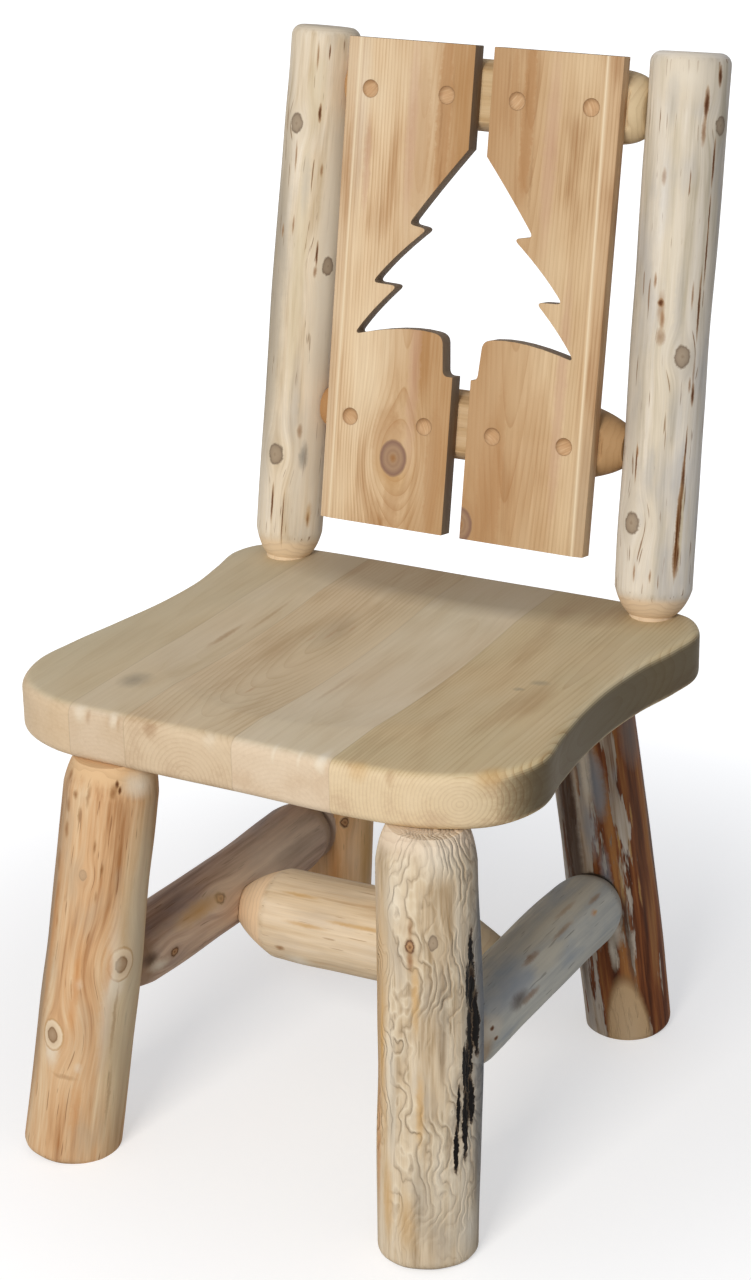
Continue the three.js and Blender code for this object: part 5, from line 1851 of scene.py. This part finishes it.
SEAT = PlankSeat(
    outline=(
        (0, -224), (110, -226), (184, -216), (235, -185), (256, -136), (249, -78), (243, -18), (242, 42),
        (248, 104), (259, 158), (262, 202), (242, 236), (200, 247), (0, 250), (-200, 249), (-246, 240),
        (-263, 206), (-257, 158), (-251, 108), (-253, 44), (-262, -20), (-272, -84), (-275, -138),
        (-254, -188), (-205, -217), (-110, -223),
    ),
    glue_lines=(-180.0, -120.0, -7.0, 93.0),
    finishes=(
        BoardFinish(
            "tan pine", "#e2cfb2", "#d6bf9c", "#c0a078", (-215.0, 0.0, 345.0), (0.012, 0.02), late_cover=0.4,
            top_cool="#cbc1a2", top_warm="#cfbf9c", front="#dcc6a8",
        ),
        BoardFinish(
            "pinkish pine", "#ecdcc6", "#e0ccb0", "#c8ac88", (-140.0, 0.0, 360.0), (0.01, -0.02),
            late_cover=0.35, top_cool="#cec2a2", top_warm="#d0be9a", front="#cfba9e",
            marks=(
                BoardMark(K.PALE, -168, -222, 14, 9, cover=0.8),
                BoardMark(K.PALE, -132, -222, 14, 8, cover=0.8),
                BoardMark(K.SHADE, -158, -142, 24, 18),
                BoardMark(K.SHADE, -160, -144, 14, 10, cover=0.5),
                BoardMark(K.BROWN, -146, -2, 42, 4, cover=0.6),
                BoardMark(K.BROWN, -134, 60, 60, 3, cover=0.4),
                BoardMark(K.BROWN, -136, -226, 9, 6, cover=0.6),
                BoardMark(K.SEPIA, -158, -224, 8, 4, cover=0.6),
                BoardMark(K.BROWN, -126, -224, 8, 3, cover=0.6),
            ),
        ),
        BoardFinish(
            "tan brown pine", "#e4d0b0", "#d8c09c", "#b08a5e", (-58.0, 30.0, 428.0), (0.1, 0.012),
            late_cover=0.75, top_cool="#cfc2a2", top_warm="#d7c2a0", front="#dac8ae", ring_width=4.4,
            worn=0.5,
            marks=(
                BoardMark(K.RUST, -60, 52, 20, 2.5, cover=0.6),
                BoardMark(K.RUST, -72, 36, 14, 2.0, cover=0.5),
                BoardMark(K.RUST, -48, 74, 12, 2.0, cover=0.5),
                BoardMark(K.RUST, -55, -108, 14, 2.0, cover=0.6),
                BoardMark(K.SHADE, -62, 58, 60, 24, cover=0.5),
                BoardMark(K.SEPIA, -92, -222, 5, 10, cover=0.7),
                BoardMark(K.PALE, -30, -224, 12, 10, cover=0.5),
            ),
        ),
        BoardFinish(
            "whitish pine", "#ecdec6", "#e0ceb2", "#c8ac86", (50.0, 0.0, 380.0), (0.012, -0.02),
            late_cover=0.4, top_cool="#d2c6a8", top_warm="#dbc8aa", front="#dfccb4",
            marks=(
                BoardMark(K.PALE, 84, -224, 30, 8),
                BoardMark(K.PALE, 62, -224, 20, 3, cover=0.6),
                BoardMark(K.PALE, 36, -224, 24, 3, cover=0.6),
                BoardMark(K.BROWN, 10, -60, 60, 3, cover=0.35),
            ),
        ),
        BoardFinish(
            "yellow pine", "#e8d6b0", "#dcc698", "#a87c46", (208.7, -200.0, 424.0), (0.01, 0.015),
            late_cover=0.75, top_cool="#c1b595", top_warm="#cfb792", front="#e6d4b8", side_shade_cover=0.92,
            ring_width=3.4,
            marks=(
                BoardMark(K.SHADE, 180, 16, 8, 12),
                BoardMark(K.SHADE, 168, -4, 5, 8),
                BoardMark(K.OCHRE, 120, -226, 20, 14, cover=0.6),
                BoardMark(K.BROWN, 150, -224, 12, 6, cover=0.5),
                BoardMark(K.OCHRE, 232, -190, 24, 20, cover=0.8),
                BoardMark(K.BROWN, 208, -214, 6, 5, cover=0.8),
            ),
        ),
    ),
)
BACK = TreeBackrest(
    slats={"left": SlatSizes(7.5, 145.5, -1), "right": SlatSizes(12.0, 144.0, 1)},
    finishes={
        "left": BoardFinish(
            "left cedar", "#efdab8", "#e2c6a0", "#ae8052", (-60.0, 30.0, 70.0), (0.05, 0.008), ring_width=3.4,
            late_cover=0.56, wander=2.0, heart="#b58b5d",
            marks=(
                BoardMark(K.HEART, -36, 400, 110, 9, ragged=1.6),
                BoardMark(K.HEART, -24, 330, 60, 5, ragged=1.6, cover=0.7),
                BoardMark(K.HEART, -22, 60, 80, 10, ragged=1.6, cover=0.6),
                BoardMark(K.HEART, -66, 36, 60, 10, ragged=1.6, cover=0.6),
                BoardMark(K.HEART, -74, 84, 44, 20, ragged=1.6, cover=0.6),
                BoardMark(K.OCHRE, -66, 60, 34, 26, ragged=1.6, cover=0.5),
                BoardMark(K.HEART, -60, 380, 90, 12, ragged=1.6, cover=0.5),
                BoardMark(K.PALE, -126, 400, 130, 13, ragged=1.6, cover=0.5),
                BoardMark(K.ROSE, -70, 390, 110, 8, ragged=1.6),
                BoardMark(K.SEPIA, -39, 400, 44, 2.0, ragged=2.6, cover=0.5),
                BoardMark(K.SEPIA, -36, 340, 34, 2.0, ragged=2.6, cover=0.6),
                BoardMark(K.SEPIA, -28, 430, 30, 1.6, ragged=2.6, cover=0.4),
                BoardMark(K.ROSE, -116, 350, 60, 5, ragged=1.6),
                BoardMark(K.ROSE, -50, 160, 130, 8, ragged=1.6),
                BoardMark(K.RED_KNOT, -66.5, 69.5, 19.5, 16, ragged=0.25),
            ),
        ),
        "right": BoardFinish(
            "right cedar", "#e2c8a2", "#d3b48c", "#a3764a", (58.0, 32.0, 60.0), (0.05, -0.008),
            ring_width=3.6, late_cover=0.56, wander=2.0, heart="#ba9268",
            marks=(
                BoardMark(K.HEART, 52, 410, 90, 8, ragged=1.6),
                BoardMark(K.HEART, 36, 430, 50, 5, ragged=1.6, cover=0.6),
                BoardMark(K.HEART, 48, 80, 90, 7, ragged=1.6, cover=0.5),
                BoardMark(K.HEART, 84, 60, 120, 30, ragged=1.6, cover=0.4),
                BoardMark(K.HEART, 40, 40, 110, 16, ragged=1.6, cover=0.5),
                BoardMark(K.ROSE, 78, 380, 110, 10, ragged=1.6),
                BoardMark(K.SEPIA, 50, 428, 36, 1.8, ragged=2.6, cover=0.5),
                BoardMark(K.SEPIA, 60, 352, 40, 2.0, ragged=2.6, cover=0.5),
                BoardMark(K.SEPIA, 30, 446, 26, 1.6, ragged=2.6, cover=0.4),
                BoardMark(K.ROSE, 108, 150, 140, 8, ragged=1.6),
                # Painted shadow on the lower end of the bevel.
                BoardMark(K.SHADE, 138, 50, 120, 11, cover=0.7),
                BoardMark(K.RED_KNOT, 12, 14, 19, 14, ragged=0.25),
            ),
        ),
    },
)


def main() -> None:
    """Build the chair and its studio."""
    logging.basicConfig(level=logging.INFO, format="%(message)s")
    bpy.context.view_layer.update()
    LogFrame().build()
    SEAT.build()
    BACK.build()
    steel = screw_steel()
    for name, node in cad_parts.items():
        if name.startswith("screw_"):
            node.data.materials.clear()
            node.data.materials.append(steel)
            log.info("%s: steel", name)
    Studio().build()
    bpy.context.scene.view_settings.view_transform = "Standard"


if __name__ == "__main__":
    main()
